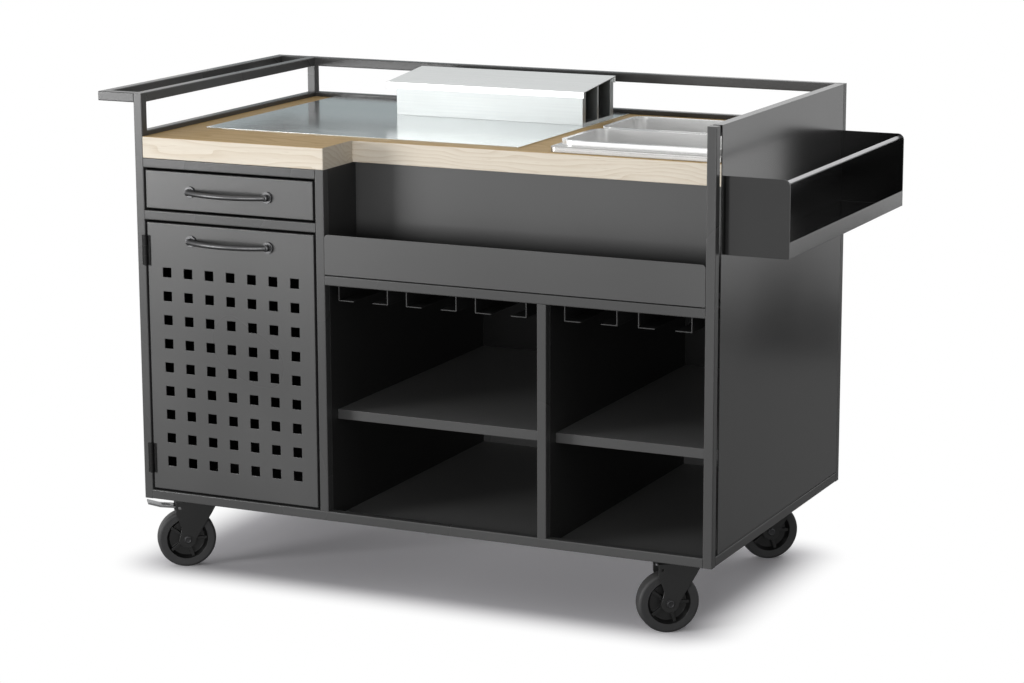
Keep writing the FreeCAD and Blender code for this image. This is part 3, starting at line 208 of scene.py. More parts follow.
class Effects:
    """Surface effects that several finishes share, each one node group."""

    EDGE_SAMPLES: int = 6
    EDGE_TURN: tuple[float, float] = (0.98, 0.80)
    MIDDLE: tuple[float, float] = (0.3, 0.7)
    PATCHES: tuple[float, float] = (0.45, 0.75)

    def __init__(self) -> None:
        """Builds every group once."""
        self.edge = self._rounded_edge()
        self.coat = self._powder_coat()
        self.brushed = self._brushed()
        self.smudge = self._smudge()

    @staticmethod
    def _group(name: str, inputs: dict[str, float],
               outputs: dict[str, str]) -> tuple[Wiring, Sockets, Sockets]:
        """Starts a group with its sockets.

        Args:
            name: the group's name.
            inputs: its number inputs and their defaults.
            outputs: its outputs and their types.

        Returns:
            The wiring, the input sockets and the output sockets by name.
        """
        tree = bpy.data.node_groups.new(name, "ShaderNodeTree")
        for label, default in inputs.items():
            socket = tree.interface.new_socket(label, in_out="INPUT", socket_type="NodeSocketFloat")
            socket.default_value = default
        for label, kind in outputs.items():
            tree.interface.new_socket(label, in_out="OUTPUT", socket_type="NodeSocket" + kind)
        start = tree.nodes.new("NodeGroupInput")
        end = tree.nodes.new("NodeGroupOutput")
        return (Wiring(tree), {label: start.outputs[label] for label in inputs},
                {label: end.inputs[label] for label in outputs})

    def _rounded_edge(self) -> bpy.types.NodeTree:
        """Softens sharp edges: a rounded normal and a mask along the edges.

        Returns:
            The group.
        """
        wiring, given, out = self._group("rounded_edge", {"Radius": 0.001},
                                         {"Normal": "Vector", "Edge": "Float"})
        bevel = wiring.node("Bevel", {"samples": self.EDGE_SAMPLES}, Radius=given["Radius"])
        plain = wiring.node("NewGeometry")
        level = wiring.vector("DOT_PRODUCT", bevel.outputs["Normal"], plain.outputs["Normal"])
        wiring.feed(out["Normal"], bevel.outputs["Normal"])
        wiring.feed(out["Edge"], wiring.spread(level.outputs["Value"], *self.EDGE_TURN, 0.0, 1.0))
        return wiring.tree

    def _powder_coat(self) -> bpy.types.NodeTree:
        """Baked powder: fine orange peel as a height, and slow unevenness of its gloss.

        Returns:
            The group.
        """
        wiring, given, out = self._group("powder_coat", {"Peel": 900.0, "Drift": 2.6},
                                         {"Height": "Float", "Mottle": "Float"})
        place = wiring.place()
        peel = wiring.node("TexNoise", Vector=place, Scale=given["Peel"], Detail=2.0, Roughness=0.55)
        slow = wiring.node("TexNoise", Vector=place, Scale=given["Drift"], Detail=2.0, Roughness=0.4)
        wiring.feed(out["Height"], peel.outputs[0])
        wiring.feed(out["Mottle"], wiring.spread(slow.outputs[0], *self.MIDDLE, 0.0, 1.0))
        return wiring.tree

    def _brushed(self) -> bpy.types.NodeTree:
        """Brushed metal: streaks that lie along one axis.

        Returns:
            The group.
        """
        wiring, given, out = self._group("brushed", {"Along X": 4.0, "Along Y": 420.0, "Along Z": 420.0},
                                         {"Streak": "Float", "Fine": "Float"})
        stretch = wiring.node("CombineXYZ", X=given["Along X"], Y=given["Along Y"], Z=given["Along Z"])
        lines = wiring.vector("MULTIPLY", wiring.place(), stretch.outputs[0]).outputs[0]
        broad = wiring.node("TexNoise", Vector=lines, Scale=1.0, Detail=3.0, Roughness=0.6)
        thin = wiring.node("TexNoise", Vector=lines, Scale=3.1, Detail=2.0, Roughness=0.5)
        wiring.feed(out["Streak"], wiring.spread(broad.outputs[0], *self.MIDDLE, 0.0, 1.0))
        wiring.feed(out["Fine"], thin.outputs[0])
        return wiring.tree

    def _smudge(self) -> bpy.types.NodeTree:
        """Faint wiped patches left by cloth and hands.

        Returns:
            The group.
        """
        wiring, given, out = self._group("smudge", {"Size": 7.0, "Cover": 0.5}, {"Mask": "Float"})
        patch = wiring.node("TexNoise", Vector=wiring.place(), Scale=given["Size"], Detail=6.0,
                            Roughness=0.65, Distortion=0.6)
        level = wiring.spread(patch.outputs[0], *self.PATCHES, 0.0, 1.0)
        wiring.feed(out["Mask"], wiring.calc("MULTIPLY", level, given["Cover"]))
        return wiring.tree


def bare_material(name: str) -> tuple[bpy.types.Material, Wiring]:
    """Makes a node material that has no node yet.

    Args:
        name: the material's name.

    Returns:
        The material and its wiring.
    """
    material = bpy.data.materials.new(name)
    material.use_nodes = True
    material.node_tree.nodes.clear()
    return material, Wiring(material.node_tree)


def surface_material(name: str) -> tuple[bpy.types.Material, Wiring, bpy.types.Node]:
    """Makes a node material with a Principled shader as its surface.

    Args:
        name: the material's name.

    Returns:
        The material, its wiring and its shader.
    """
    material, wiring = bare_material(name)
    shader = wiring.node("BsdfPrincipled")
    wiring.feed(wiring.node("OutputMaterial").inputs["Surface"], shader.outputs[0])
    return material, wiring, shader


@dataclass(frozen=True)
class Paint:
    """Powder coat or enamel on steel.

    The mottle moves the tone from color to tone, the rounded edges are painted lighter, partly a rubbed look and
    partly a painted highlight, and the faces that look one way may get another tone: painted light where light
    falls on them, painted shade where no light comes.
    """

    name: str
    color: Color
    tone: Color
    rub_and_glint: Color
    roughness: float = 0.42
    gloss_drift: float = 0.03
    peel: float = 0.10
    peel_size: float = 900.0
    peel_depth: float = 0.0004
    edge: float = 0.0012
    rub_and_glint_share: float = 0.6
    specular: float = 0.5
    # Painted light and shade: the tone that faces looking one way get, that way, and how sharply the tone turns.
    painted_lighting_tone: Color | None = None
    painted_lighting_way: Point = (0.0, 0.0, 1.0)
    painted_lighting_spread: tuple[float, float] = (0.7, 0.95)

    def make(self, effects: Effects) -> bpy.types.Material:
        """Makes the material.

        Args:
            effects: the shared groups.

        Returns:
            The paint.
        """
        material, wiring, shader = surface_material(self.name)
        powder = wiring.group(effects.coat, Peel=self.peel_size)
        edge = wiring.group(effects.edge, Radius=self.edge)
        mottle = powder.outputs["Mottle"]
        tone = wiring.blend(mottle, self.color, self.tone)
        # Painted light and shade: faces that look one way get another tone, lighter on shelf tops, darker on the
        # back panel's inside.
        if self.painted_lighting_tone:
            normal = wiring.node("NewGeometry").outputs["Normal"]
            level = wiring.vector("DOT_PRODUCT", normal, self.painted_lighting_way).outputs["Value"]
            tone = wiring.blend(wiring.spread(level, *self.painted_lighting_spread, 0.0, 1.0), tone, self.painted_lighting_tone)
        # Painted highlight along the rounded edges, partly a rubbed look: the edge mask lightens the tone.
        rubbed_and_glint = wiring.calc("MULTIPLY", edge.outputs["Edge"], self.rub_and_glint_share)
        wiring.feed(shader.inputs["Base Color"], wiring.blend(rubbed_and_glint, tone, self.rub_and_glint))
        wiring.feed(shader.inputs["Roughness"], wiring.spread(
            mottle, 0.0, 1.0, self.roughness - self.gloss_drift, self.roughness + self.gloss_drift))
        bump = wiring.node("Bump", Strength=self.peel, Distance=self.peel_depth,
                           Height=powder.outputs["Height"], Normal=edge.outputs["Normal"])
        wiring.feed(shader.inputs["Normal"], bump.outputs[0])
        shader.inputs["Specular IOR Level"].default_value = self.specular
        return material


@dataclass(frozen=True)
class Metal:
    """Bare steel, brushed, rolled or drawn, with wiped patches; a satin one is less metallic."""

    name: str
    color: Color
    dark: Color
    direction: Direction
    roughness: float = 0.28
    drift: float = 0.08
    scratch: float = 0.06
    scratch_depth: float = 0.0002
    edge: float = 0.0008
    metallic: float = 1.0
    wipe_size: float = 6.0
    wipe_cover: float = 0.6
    wipe_dulling: float = 0.08

    def make(self, effects: Effects) -> bpy.types.Material:
        """Makes the material.

        Args:
            effects: the shared groups.

        Returns:
            The metal.
        """
        material, wiring, shader = surface_material(self.name)
        along_x, along_y, along_z = self.direction.value
        lines = wiring.group(effects.brushed, Along_X=along_x, Along_Y=along_y, Along_Z=along_z)
        streak = lines.outputs["Streak"]
        wiped = wiring.group(effects.smudge, Size=self.wipe_size, Cover=self.wipe_cover).outputs["Mask"]
        edge = wiring.group(effects.edge, Radius=self.edge)
        wiring.feed(shader.inputs["Base Color"], wiring.blend(streak, self.color, self.dark))
        gloss = wiring.spread(streak, 0.0, 1.0, self.roughness - self.drift, self.roughness + self.drift)
        dulled = wiring.calc("MULTIPLY", wiped, self.wipe_dulling)
        wiring.feed(shader.inputs["Roughness"], wiring.calc("ADD", gloss, dulled))
        bump = wiring.node("Bump", Strength=self.scratch, Distance=self.scratch_depth,
                           Height=lines.outputs["Fine"], Normal=edge.outputs["Normal"])
        wiring.feed(shader.inputs["Normal"], bump.outputs[0])
        shader.inputs["Metallic"].default_value = self.metallic
        return material


@dataclass(frozen=True)
class OiledWood:
    """Pale hardwood planks: darker growth lines in long arcs, fine pores, and a darker golden tone on faces that
    look up.
    """

    name: str = "oiled_wood"
    pale: Color = (0.80, 0.735, 0.63)
    pale_line: Color = (0.66, 0.57, 0.45)
    golden: Color = (0.60, 0.41, 0.18)
    golden_line: Color = (0.46, 0.30, 0.12)
    golden_turn: tuple[float, float] = (0.35, 0.85)
    pore: Color = (0.34, 0.23, 0.13)
    pore_cut: tuple[float, float] = (0.64, 0.80)
    fibre_cut: tuple[float, float] = (0.3, 0.7)
    plank_long: float = 1.9
    plank_wide: float = 0.118
    plank_shift: Point = (3.7, 1.9, 0.4)
    plank_share: float = 0.12
    seam_wide: float = 0.0003
    seam_soft: float = 0.3
    seam_share: float = 0.45
    ring_gap: float = 0.011
    ring_slope: float = 0.42
    ring_sway: float = 9.0
    ring_edge: float = 2.6
    ring_share: float = 0.62
    arc_stretch: Point = (3.2, 9.0, 16.0)
    fibre_stretch: Point = (9.0, 260.0, 260.0)
    fibre_share: float = 0.30
    pore_stretch: Point = (34.0, 1000.0, 900.0)
    pore_share: float = 0.40
    pore_depth: float = 1.2
    roughness: float = 0.58
    line_gloss: tuple[float, float] = (-0.04, 0.08)
    specular: float = 0.22
    wipe_size: float = 5.0
    wipe_cover: float = 0.10
    edge: float = 0.0018
    relief: float = 0.12
    relief_depth: float = 0.0005

    def make(self, effects: Effects) -> bpy.types.Material:
        """Makes the material.

        Args:
            effects: the shared groups.

        Returns:
            The wood.
        """
        material, wiring, shader = surface_material(self.name)
        place = wiring.place()
        planks = self._planks(wiring, place)
        shade = wiring.node("SeparateColor", Color=planks.outputs["Color"]).outputs[0]
        slide = wiring.node("CombineXYZ", **{
            axis: wiring.calc("MULTIPLY", shade, reach) for axis, reach in zip("XYZ", self.plank_shift)})
        moved = wiring.vector("ADD", place, slide.outputs[0]).outputs[0]
        fibre = self._grain(wiring, moved, self.fibre_stretch, 4.0, 0.6)
        pores = self._grain(wiring, moved, self.pore_stretch, 2.0, 0.5)
        strands = wiring.calc("MULTIPLY", wiring.spread(fibre, *self.fibre_cut, 0.0, 1.0), self.fibre_share)
        rings = wiring.calc("MULTIPLY", self._rings(wiring, moved), self.ring_share)
        line = wiring.calc("ADD", rings, strands)
        tone = wiring.calc("ADD", line, wiring.calc("MULTIPLY", shade, self.plank_share))
        # The faces that look up get a darker golden tone than the pale sides.
        facing = wiring.node("SeparateXYZ", Vector=wiring.node("NewGeometry").outputs["Normal"]).outputs["Z"]
        top = wiring.spread(facing, *self.golden_turn, 0.0, 1.0)
        plain = wiring.blend(top, wiring.blend(tone, self.pale, self.pale_line),
                             wiring.blend(tone, self.golden, self.golden_line))
        dots = wiring.spread(pores, *self.pore_cut, 0.0, self.pore_share)
        seams = wiring.calc("MULTIPLY", planks.outputs["Fac"], self.seam_share)
        darker = wiring.calc("MAXIMUM", dots, seams)
        wiring.feed(shader.inputs["Base Color"], wiring.blend(darker, plain, self.pore))
        wiped = wiring.group(effects.smudge, Size=self.wipe_size, Cover=self.wipe_cover).outputs["Mask"]
        gloss = wiring.spread(line, 0.0, 1.0, *(self.roughness + change for change in self.line_gloss))
        wiring.feed(shader.inputs["Roughness"], wiring.calc("SUBTRACT", gloss, wiped))
        edge = wiring.group(effects.edge, Radius=self.edge)
        height = wiring.calc("SUBTRACT", fibre, wiring.calc("MULTIPLY", dots, self.pore_depth))
        bump = wiring.node("Bump", Strength=self.relief, Distance=self.relief_depth, Height=height,
                           Normal=edge.outputs["Normal"])
        wiring.feed(shader.inputs["Normal"], bump.outputs[0])
        shader.inputs["Specular IOR Level"].default_value = self.specular
        return material

    def _planks(self, wiring: Wiring, place: bpy.types.NodeSocket) -> bpy.types.Node:
        """Lays the planks.

        Args:
            wiring: the material's wiring.
            place: the place on the worktop.

        Returns:
            The node with a shade for each plank and the seams between them.
        """
        planks = wiring.node("TexBrick", {"offset": 0.5, "offset_frequency": 2, "squash": 1.0}, Vector=place,
                             Scale=1.0, Mortar_Size=self.seam_wide, Mortar_Smooth=self.seam_soft,
                             Brick_Width=self.plank_long, Row_Height=self.plank_wide)
        for label, shade in (("Color1", 0.0), ("Color2", 1.0), ("Mortar", 0.5)):
            planks.inputs[label].default_value = (shade, shade, shade, 1.0)
        return planks

    def _rings(self, wiring: Wiring, place: bpy.types.NodeSocket) -> bpy.types.NodeSocket:
        """Draws the growth lines, soft on one side and sharp on the other.

        Args:
            wiring: the material's wiring.
            place: the place in the plank.

        Returns:
            How dark the growth line is.
        """
        arcs = self._grain(wiring, place, self.arc_stretch, 2.0, 0.45, 0.4)
        axes = wiring.node("SeparateXYZ", Vector=place).outputs
        depth = wiring.calc("ADD", wiring.calc("MULTIPLY", axes["Y"], self.ring_slope), axes["Z"])
        phase = wiring.calc("ADD", wiring.calc("DIVIDE", depth, self.ring_gap),
                            wiring.calc("MULTIPLY", arcs, self.ring_sway))
        return wiring.calc("POWER", wiring.calc("FRACT", phase), self.ring_edge)

    @staticmethod
    def _grain(wiring: Wiring, place: bpy.types.NodeSocket, stretch: Point, detail: float, roughness: float,
               distortion: float = 0.0) -> bpy.types.NodeSocket:
        """Makes noise that is drawn out along the plank.

        Args:
            wiring: the material's wiring.
            place: the place in the plank.
            stretch: how dense the noise is along x, y and z.
            detail: how many finer layers it has.
            roughness: how strong the finer layers are.
            distortion: how much it is stirred.

        Returns:
            The noise.
        """
        drawn = wiring.vector("MULTIPLY", place, stretch).outputs[0]
        return wiring.node("TexNoise", Vector=drawn, Scale=1.0, Detail=detail, Roughness=roughness,
                           Distortion=distortion).outputs[0]


@dataclass(frozen=True)
class WheelRubber:
    """Moulded wheel: rubber tyre round a harder, darker core, told apart by the distance from the axle."""

    name: str
    tyre: Color = (0.024, 0.024, 0.025)
    dust: Color = (0.070, 0.069, 0.067)
    core: Color = (0.009, 0.009, 0.009)
    rim: float = 0.0445
    rim_seam: float = 0.0003
    tread: tuple[float, float] = (0.0595, 0.0622)
    tread_dust: float = 0.55
    side_dust: float = 0.15
    core_rough: float = 0.38
    tyre_rough: float = 0.62
    grain: float = 1500.0
    dust_size: float = 28.0
    turning: float = 5200.0
    turning_share: float = 0.25
    edge: float = 0.001
    relief: float = 0.16
    relief_depth: float = 0.0004

    def make(self, effects: Effects, center: Vector, axis: Vector) -> bpy.types.Material:
        """Makes the material of one wheel.

        Args:
            effects: the shared groups.
            center: the middle of the axle.
            axis: the axle's direction.

        Returns:
            The wheel's material.
        """
        material, wiring, shader = surface_material(self.name)
        arm = wiring.vector("SUBTRACT", wiring.place(), tuple(center)).outputs[0]
        across = wiring.vector("CROSS_PRODUCT", arm, tuple(axis)).outputs[0]
        radius = wiring.vector("LENGTH", across).outputs["Value"]
        outside = wiring.spread(radius, self.rim - self.rim_seam, self.rim + self.rim_seam, 0.0, 1.0)
        tread = wiring.spread(radius, *self.tread, 0.0, self.tread_dust)
        powder = wiring.group(effects.coat, Peel=self.grain, Drift=self.dust_size)
        edge = wiring.group(effects.edge, Radius=self.edge)
        dusty = wiring.calc("MULTIPLY", wiring.calc("ADD", tread, self.side_dust), powder.outputs["Mottle"])
        rubber = wiring.blend(dusty, self.tyre, self.dust)
        wiring.feed(shader.inputs["Base Color"], wiring.blend(outside, self.core, rubber))
        gloss = wiring.spread(outside, 0.0, 1.0, self.core_rough, self.tyre_rough)
        wiring.feed(shader.inputs["Roughness"], gloss)
        turned = wiring.calc("SINE", wiring.calc("MULTIPLY", radius, self.turning))
        grooves = wiring.calc("MULTIPLY", turned, self.turning_share)
        height = wiring.calc("ADD", powder.outputs["Height"], grooves)
        bump = wiring.node("Bump", Strength=self.relief, Distance=self.relief_depth, Height=height,
                           Normal=edge.outputs["Normal"])
        wiring.feed(shader.inputs["Normal"], bump.outputs[0])
        return material


def dress(material: bpy.types.Material, *names: str) -> None:
    """Gives CAD nodes a finish.

    Args:
        material: the finish.
        *names: the nodes.
    """
    for name in names:
        mesh = frame["nodes"][name].data
        if mesh.materials:
            mesh.materials[0] = material
        else:
            mesh.materials.append(material)
        log.info("%s: %s", name, material.name)


def link_object(name: str, form: bmesh.types.BMesh, material: bpy.types.Material) -> bpy.types.Object:
    """Turns a form in the row frame into an object of the scene.

    Args:
        name: the object's name.
        form: its shape; it is freed here.
        material: its finish.

    Returns:
        The object.
    """
    mesh = bpy.data.meshes.new(name)
    form.to_mesh(mesh)
    form.free()
    mesh.materials.append(material)
    made = bpy.data.objects.new(name, mesh)
    bpy.context.scene.collection.objects.link(made)
    return made


def place_piece(name: str, form: bmesh.types.BMesh, material: bpy.types.Material, body: str) -> bpy.types.Object:
    """Turns a form in the row frame into a piece that rides on a body.

    Args:
        name: the piece's name.
        form: its shape; it is freed here.
        material: its finish.
        body: the body that it moves with.

    Returns:
        The piece.
    """
    piece = link_object(name, form, material)
    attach(piece, body)
    log.info("%s: added, %s", name, material.name)
    return piece


def spin_profile(form: bmesh.types.BMesh, points: list[tuple[float, float]], steps: int,
                 move: Matrix) -> None:
    """Adds a turned form about the local z axis.

    Args:
        form: the shape to add to.
        points: radius and height along the profile; a radius of 0 closes it.
        steps: how many sides it has.
        move: where it goes.
    """
    rings: list[list[bmesh.types.BMVert]] = []
    for radius, height in points:
        if radius == 0.0:
            rings.append([form.verts.new(move @ Vector((0.0, 0.0, height)))])
            continue
        rings.append([form.verts.new(move @ Vector((radius * math.cos(2 * math.pi * step / steps),
                                                    radius * math.sin(2 * math.pi * step / steps), height)))
                      for step in range(steps)])
    for low, high in zip(rings, rings[1:]):
        for step in range(steps):
            after = (step + 1) % steps
            if len(low) == 1:
                form.faces.new((low[0], high[after], high[step]))
            elif len(high) == 1:
                form.faces.new((low[step], low[after], high[0]))
            else:
                form.faces.new((low[step], low[after], high[after], high[step]))


@dataclass
class FrameTubes:
    """Welded square-tube frame with the guard rails and the push handle."""

    paint: Paint = Paint("frame_paint", (0.060, 0.060, 0.060), (0.070, 0.070, 0.070), (0.21, 0.21, 0.21),
                         roughness=0.27, specular=0.38)

    def dress(self, effects: Effects) -> None:
        """Paints the tubes.

        Args:
            effects: the shared groups.
        """
        posts = [f"corner_post_{side}_{end}" for side in ("front", "back") for end in ("left", "right")]
        rails = [f"bottom_rail_{side}" for side in ("front", "back", "left", "right")]
        guards = [f"{kind}_rail_{side}" for kind in ("guard", "low") for side in ("left", "back")]
        dress(self.paint.make(effects), *posts, *rails, *guards, "cabinet_post", "middle_post",
              "drawer_top_rail", "drawer_bottom_rail", "bay_rail", "push_handle")


@dataclass
class SheetMetal:
    """Folded and flat sheets: sides, back, floor, partitions, trough, shelves and stemware channels."""

    front: Paint = Paint("trough_paint", (0.045, 0.045, 0.045), (0.053, 0.053, 0.053), (0.18, 0.18, 0.18),
                         roughness=0.38)
    side: Paint = Paint("side_gloss", (0.018, 0.018, 0.018), (0.022, 0.022, 0.022), (0.12, 0.12, 0.12),
                        roughness=0.20, gloss_drift=0.02, peel=0.03, specular=0.9)
    # Painted light: the tops of the shelves and of the floor panel get a lighter tone.
    shelf: Paint = Paint("shelf_paint", (0.045, 0.045, 0.045), (0.053, 0.053, 0.053), (0.18, 0.18, 0.18),
                         roughness=0.38, painted_lighting_tone=(0.17, 0.17, 0.17))
    inside: Paint = Paint("inside_black", (0.013, 0.013, 0.013), (0.018, 0.018, 0.018), (0.05, 0.05, 0.05),
                          roughness=0.48)
    # Painted shade: the back panel's inner face, which looks to the front, gets a near-black tone.
    back: Paint = Paint("back_black", (0.030, 0.030, 0.030), (0.036, 0.036, 0.036), (0.12, 0.12, 0.12),
                        roughness=0.40, specular=0.20, painted_lighting_tone=(0.003, 0.003, 0.003),
                        painted_lighting_way=(0.0, -1.0, 0.0))

    def dress(self, effects: Effects) -> None:
        """Paints the sheets.

        Args:
            effects: the shared groups.
        """
        dress(self.side.make(effects), "side_panel_right", "side_panel_left")
        dress(self.front.make(effects), "bottle_trough")
        dress(self.shelf.make(effects), "shelf_left", "shelf_right", "floor_panel")
        dress(self.inside.make(effects), "cabinet_wall", "bay_divider", "bay_ceiling", "stemware_channels")
        dress(self.back.make(effects), "back_panel")


@dataclass
class SideRack:
    """Open rack on the right end with its round bar."""

    paint: Paint = Paint("rack_black", (0.007, 0.007, 0.007), (0.009, 0.009, 0.009), (0.10, 0.10, 0.10),
                         roughness=0.12, gloss_drift=0.02, specular=0.60)
    bar: Metal = Metal("rack_bar_steel", (0.52, 0.52, 0.53), (0.44, 0.44, 0.45), Direction.ALONG_Y,
                       roughness=0.30)

    def dress(self, effects: Effects) -> None:
        """Finishes the rack."""
        dress(self.paint.make(effects), "rack_body")
        dress(self.bar.make(effects), "rack_bar")


@dataclass
class Worktop:
    """Wooden top with the steel plate, the caddy with its lid, and the two pans in their surround."""

    wood: OiledWood = OiledWood()
    plate: Metal = Metal("plate_steel", (0.80, 0.83, 0.83), (0.74, 0.77, 0.77), Direction.ALONG_X,
                         roughness=0.15, drift=0.02, scratch=0.03)
    caddy: Metal = Metal("caddy_steel", (0.345, 0.36, 0.358), (0.325, 0.34, 0.338), Direction.ALONG_X,
                         roughness=0.38, drift=0.04, scratch=0.04)
    lid: Metal = Metal("lid_steel", (0.73, 0.745, 0.74), (0.65, 0.665, 0.66), Direction.ALONG_X,
                       roughness=0.34)
    surround: Metal = Metal("surround_steel", (0.46, 0.455, 0.445), (0.40, 0.395, 0.385), Direction.ALONG_X)
    pan: Metal = Metal("pan_steel", (0.95, 0.95, 0.945), (0.90, 0.90, 0.895), Direction.ALONG_Y,
                       roughness=0.20, drift=0.04, scratch=0.02, metallic=0.68)

    def dress(self, effects: Effects) -> None:
        """Finishes everything on top.

        Args:
            effects: the shared groups.
        """
        dress(self.wood.make(effects), "worktop")
        dress(self.plate.make(effects), "steel_plate")
        dress(self.caddy.make(effects), "caddy_box")
        dress(self.lid.make(effects), "caddy_lid")
        dress(self.surround.make(effects), "pan_surround")
        dress(self.pan.make(effects), "pan_front", "pan_back")


@dataclass
class Cabinet:
    """Drawer over a pierced door, with bow handles and butt hinges."""

    front: Paint = Paint("front_paint", (0.060, 0.060, 0.060), (0.071, 0.071, 0.071), (0.21, 0.21, 0.21),
                         roughness=0.29)
    inside: Paint = Paint("drawer_black", (0.014, 0.014, 0.014), (0.019, 0.019, 0.019), (0.06, 0.06, 0.06),
                          roughness=0.48)
    handle: Metal = Metal("handle_satin", (0.115, 0.115, 0.117), (0.085, 0.085, 0.087), Direction.ALONG_X,
                          roughness=0.36)
    hinge: Paint = Paint("hinge_black", (0.006, 0.006, 0.006), (0.009, 0.009, 0.009), (0.05, 0.05, 0.05),
                         roughness=0.46, peel=0.05, specular=0.14)
    hinge_height: float = 0.064
    leaf_face: float = -0.362
    pin_x: float = -0.6525
    frame_screws: float = -0.00715
    door_screws: float = 0.0069
    screw_rows: tuple[float, ...] = (1 / 6, 1 / 2, 5 / 6)
    screw_radius: float = 0.0019
    screw_rise: float = 0.0008
    screw_sides: int = 18
    screw_shares: Profile = ((1.0, 0.0), (1.0, 0.45), (0.86, 0.85), (0.62, 1.0), (0.46, 1.0), (0.44, 0.3),
                             (0.0, 0.25))

    def dress(self, effects: Effects) -> None:
        """Finishes the drawer, the door and their fittings.

        Args:
            effects: the shared groups.
        """
        dress(self.front.make(effects), "drawer_front", "door")
        dress(self.inside.make(effects), "drawer_box", "drawer_runners")
        dress(self.handle.make(effects), "drawer_handle", "door_handle")
        black = self.hinge.make(effects)
        dress(black, "hinge_frame_leaves", "hinge_door_leaves")
        self.build_screws("hinge_screws_post", "hinge_frame_leaves", self.frame_screws, "cart", black)
        self.build_screws("hinge_screws_door", "hinge_door_leaves", self.door_screws, "door", black)

    def build_screws(self, name: str, leaves: str, offset: float, body: str,
                     black: bpy.types.Material) -> None:
        """Adds the screw heads of two hinge leaves, each with a round socket.

        Args:
            name: the piece's name.
            leaves: the node that they are in.
            offset: how far they lie from the hinge pin along x.
            body: the body that they move with.
            black: their finish.
        """
        low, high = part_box(leaves)
        form = bmesh.new()
        upright = Matrix.Rotation(math.pi / 2, 4, "X")
        profile = [(self.screw_radius * out, self.screw_rise * up) for out, up in self.screw_shares]
        for start in (low.z, high.z - self.hinge_height):
            for share in self.screw_rows:
                spot = Vector((self.pin_x + offset, self.leaf_face, start + share * self.hinge_height))
                spin_profile(form, profile, self.screw_sides, Matrix.Translation(spot) @ upright)
        place_piece(name, form, black, body)


@dataclass
class Casters:
    """Four swivel casters: plates, forks, wheels, axle bolts and the brake pedal."""

    metal: Paint = Paint("caster_black", (0.011, 0.011, 0.011), (0.015, 0.015, 0.015), (0.08, 0.08, 0.08),
                         roughness=0.40, peel=0.05)
    pedal: Metal = Metal("pedal_zinc", (0.33, 0.33, 0.335), (0.25, 0.25, 0.255), Direction.ALONG_Z,
                         roughness=0.34)
    bolt: Metal = Metal("bolt_black", (0.070, 0.070, 0.072), (0.050, 0.050, 0.052), Direction.ALONG_Z,
                        roughness=0.40)
    corners: tuple[str, ...] = ("front_left", "front_right", "back_left", "back_right")
    leg_out: float = 0.023
    head_radius: float = 0.0084
    head_thick: float = 0.005
    washer_thick: float = 0.0008
    shank_radius: float = 0.005
    flank_shares: Profile = ((0.98, 0.8), (0.86, 0.92))
    flat_shares: Profile = ((0.86, 0.92), (0.82, 1.0), (0.0, 1.0))
    nut_shares: Profile = ((0.86, 0.92), (0.70, 1.0), (0.58, 0.9), (0.0, 0.88))
    hexagon: int = 6
    round_sides: int = 24
    washer_sides: int = 28

    def dress(self, effects: Effects) -> None:
        """Finishes the casters and builds their bolts.

        Args:
            effects: the shared groups.
        """
        forks = [f"caster_fork_{corner}" for corner in self.corners]
        dress(self.metal.make(effects), "caster_plates", *forks)
        dress(self.pedal.make(effects), "brake_pedal")
        black = self.bolt.make(effects)
        joints = {joint["name"]: joint for joint in frame["joints"]}
        for corner in self.corners:
            joint = joints[f"roll_{corner}"]
            center = Vector(joint["pos_m"])
            axis = Vector(joint["axis"]).normalized()
            dress(WheelRubber(f"wheel_{corner}").make(effects, center, axis), f"caster_wheel_{corner}")
            self.build_bolt(corner, center, axis, black)

    def build_bolt(self, corner: str, center: Vector, axis: Vector, black: bpy.types.Material) -> None:
        """Adds a hexagon bolt with its lock nut in place of the plain axle.

        Args:
            corner: which caster.
            center: the middle of the axle.
            axis: the axle's direction.
            black: its finish.
        """
        form = bmesh.new()
        here = Matrix.Translation(center) @ axis.to_track_quat("Z", "X").to_matrix().to_4x4()
        back = here @ Matrix.Rotation(math.pi, 4, "X")
        leg, head, shank = self.leg_out, self.head_radius, self.shank_radius
        seat = leg + self.washer_thick
        washer = [(shank, leg), (head, leg), (head, seat), (shank, seat)]
        flanks, flat_cap, nut_cap = ([(head * out, leg + self.head_thick * up) for out, up in shares]
                                     for shares in (self.flank_shares, self.flat_shares, self.nut_shares))
        spin_profile(form, [(0.0, -leg), (shank, -leg), (shank, leg), (0.0, leg)], self.round_sides, here)
        for move, cap, sides in ((here, flat_cap, self.hexagon), (back, nut_cap, self.round_sides)):
            spin_profile(form, washer, self.washer_sides, move)
            spin_profile(form, [(flanks[0][0], seat), *flanks], self.hexagon, move)
            spin_profile(form, cap, sides, move)
        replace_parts(place_piece(f"axle_bolt_{corner}", form, black, f"caster_{corner}"),
                    f"caster_axle_{corner}")


@dataclass(frozen=True)
class Card:
    """A glowing card of the studio that only reflections show, a painted reflection: its four corners and its
    tone.
    """

    name: str
    corners: tuple[Point, Point, Point, Point]
    tone: Color


@dataclass(frozen=True)
class Lamp:
    """A soft rectangular lamp: where it stands, the point that it faces, its width and height, its power."""

    name: str
    spot: Point
    aim: Point
    size: tuple[float, float]
    watts: float


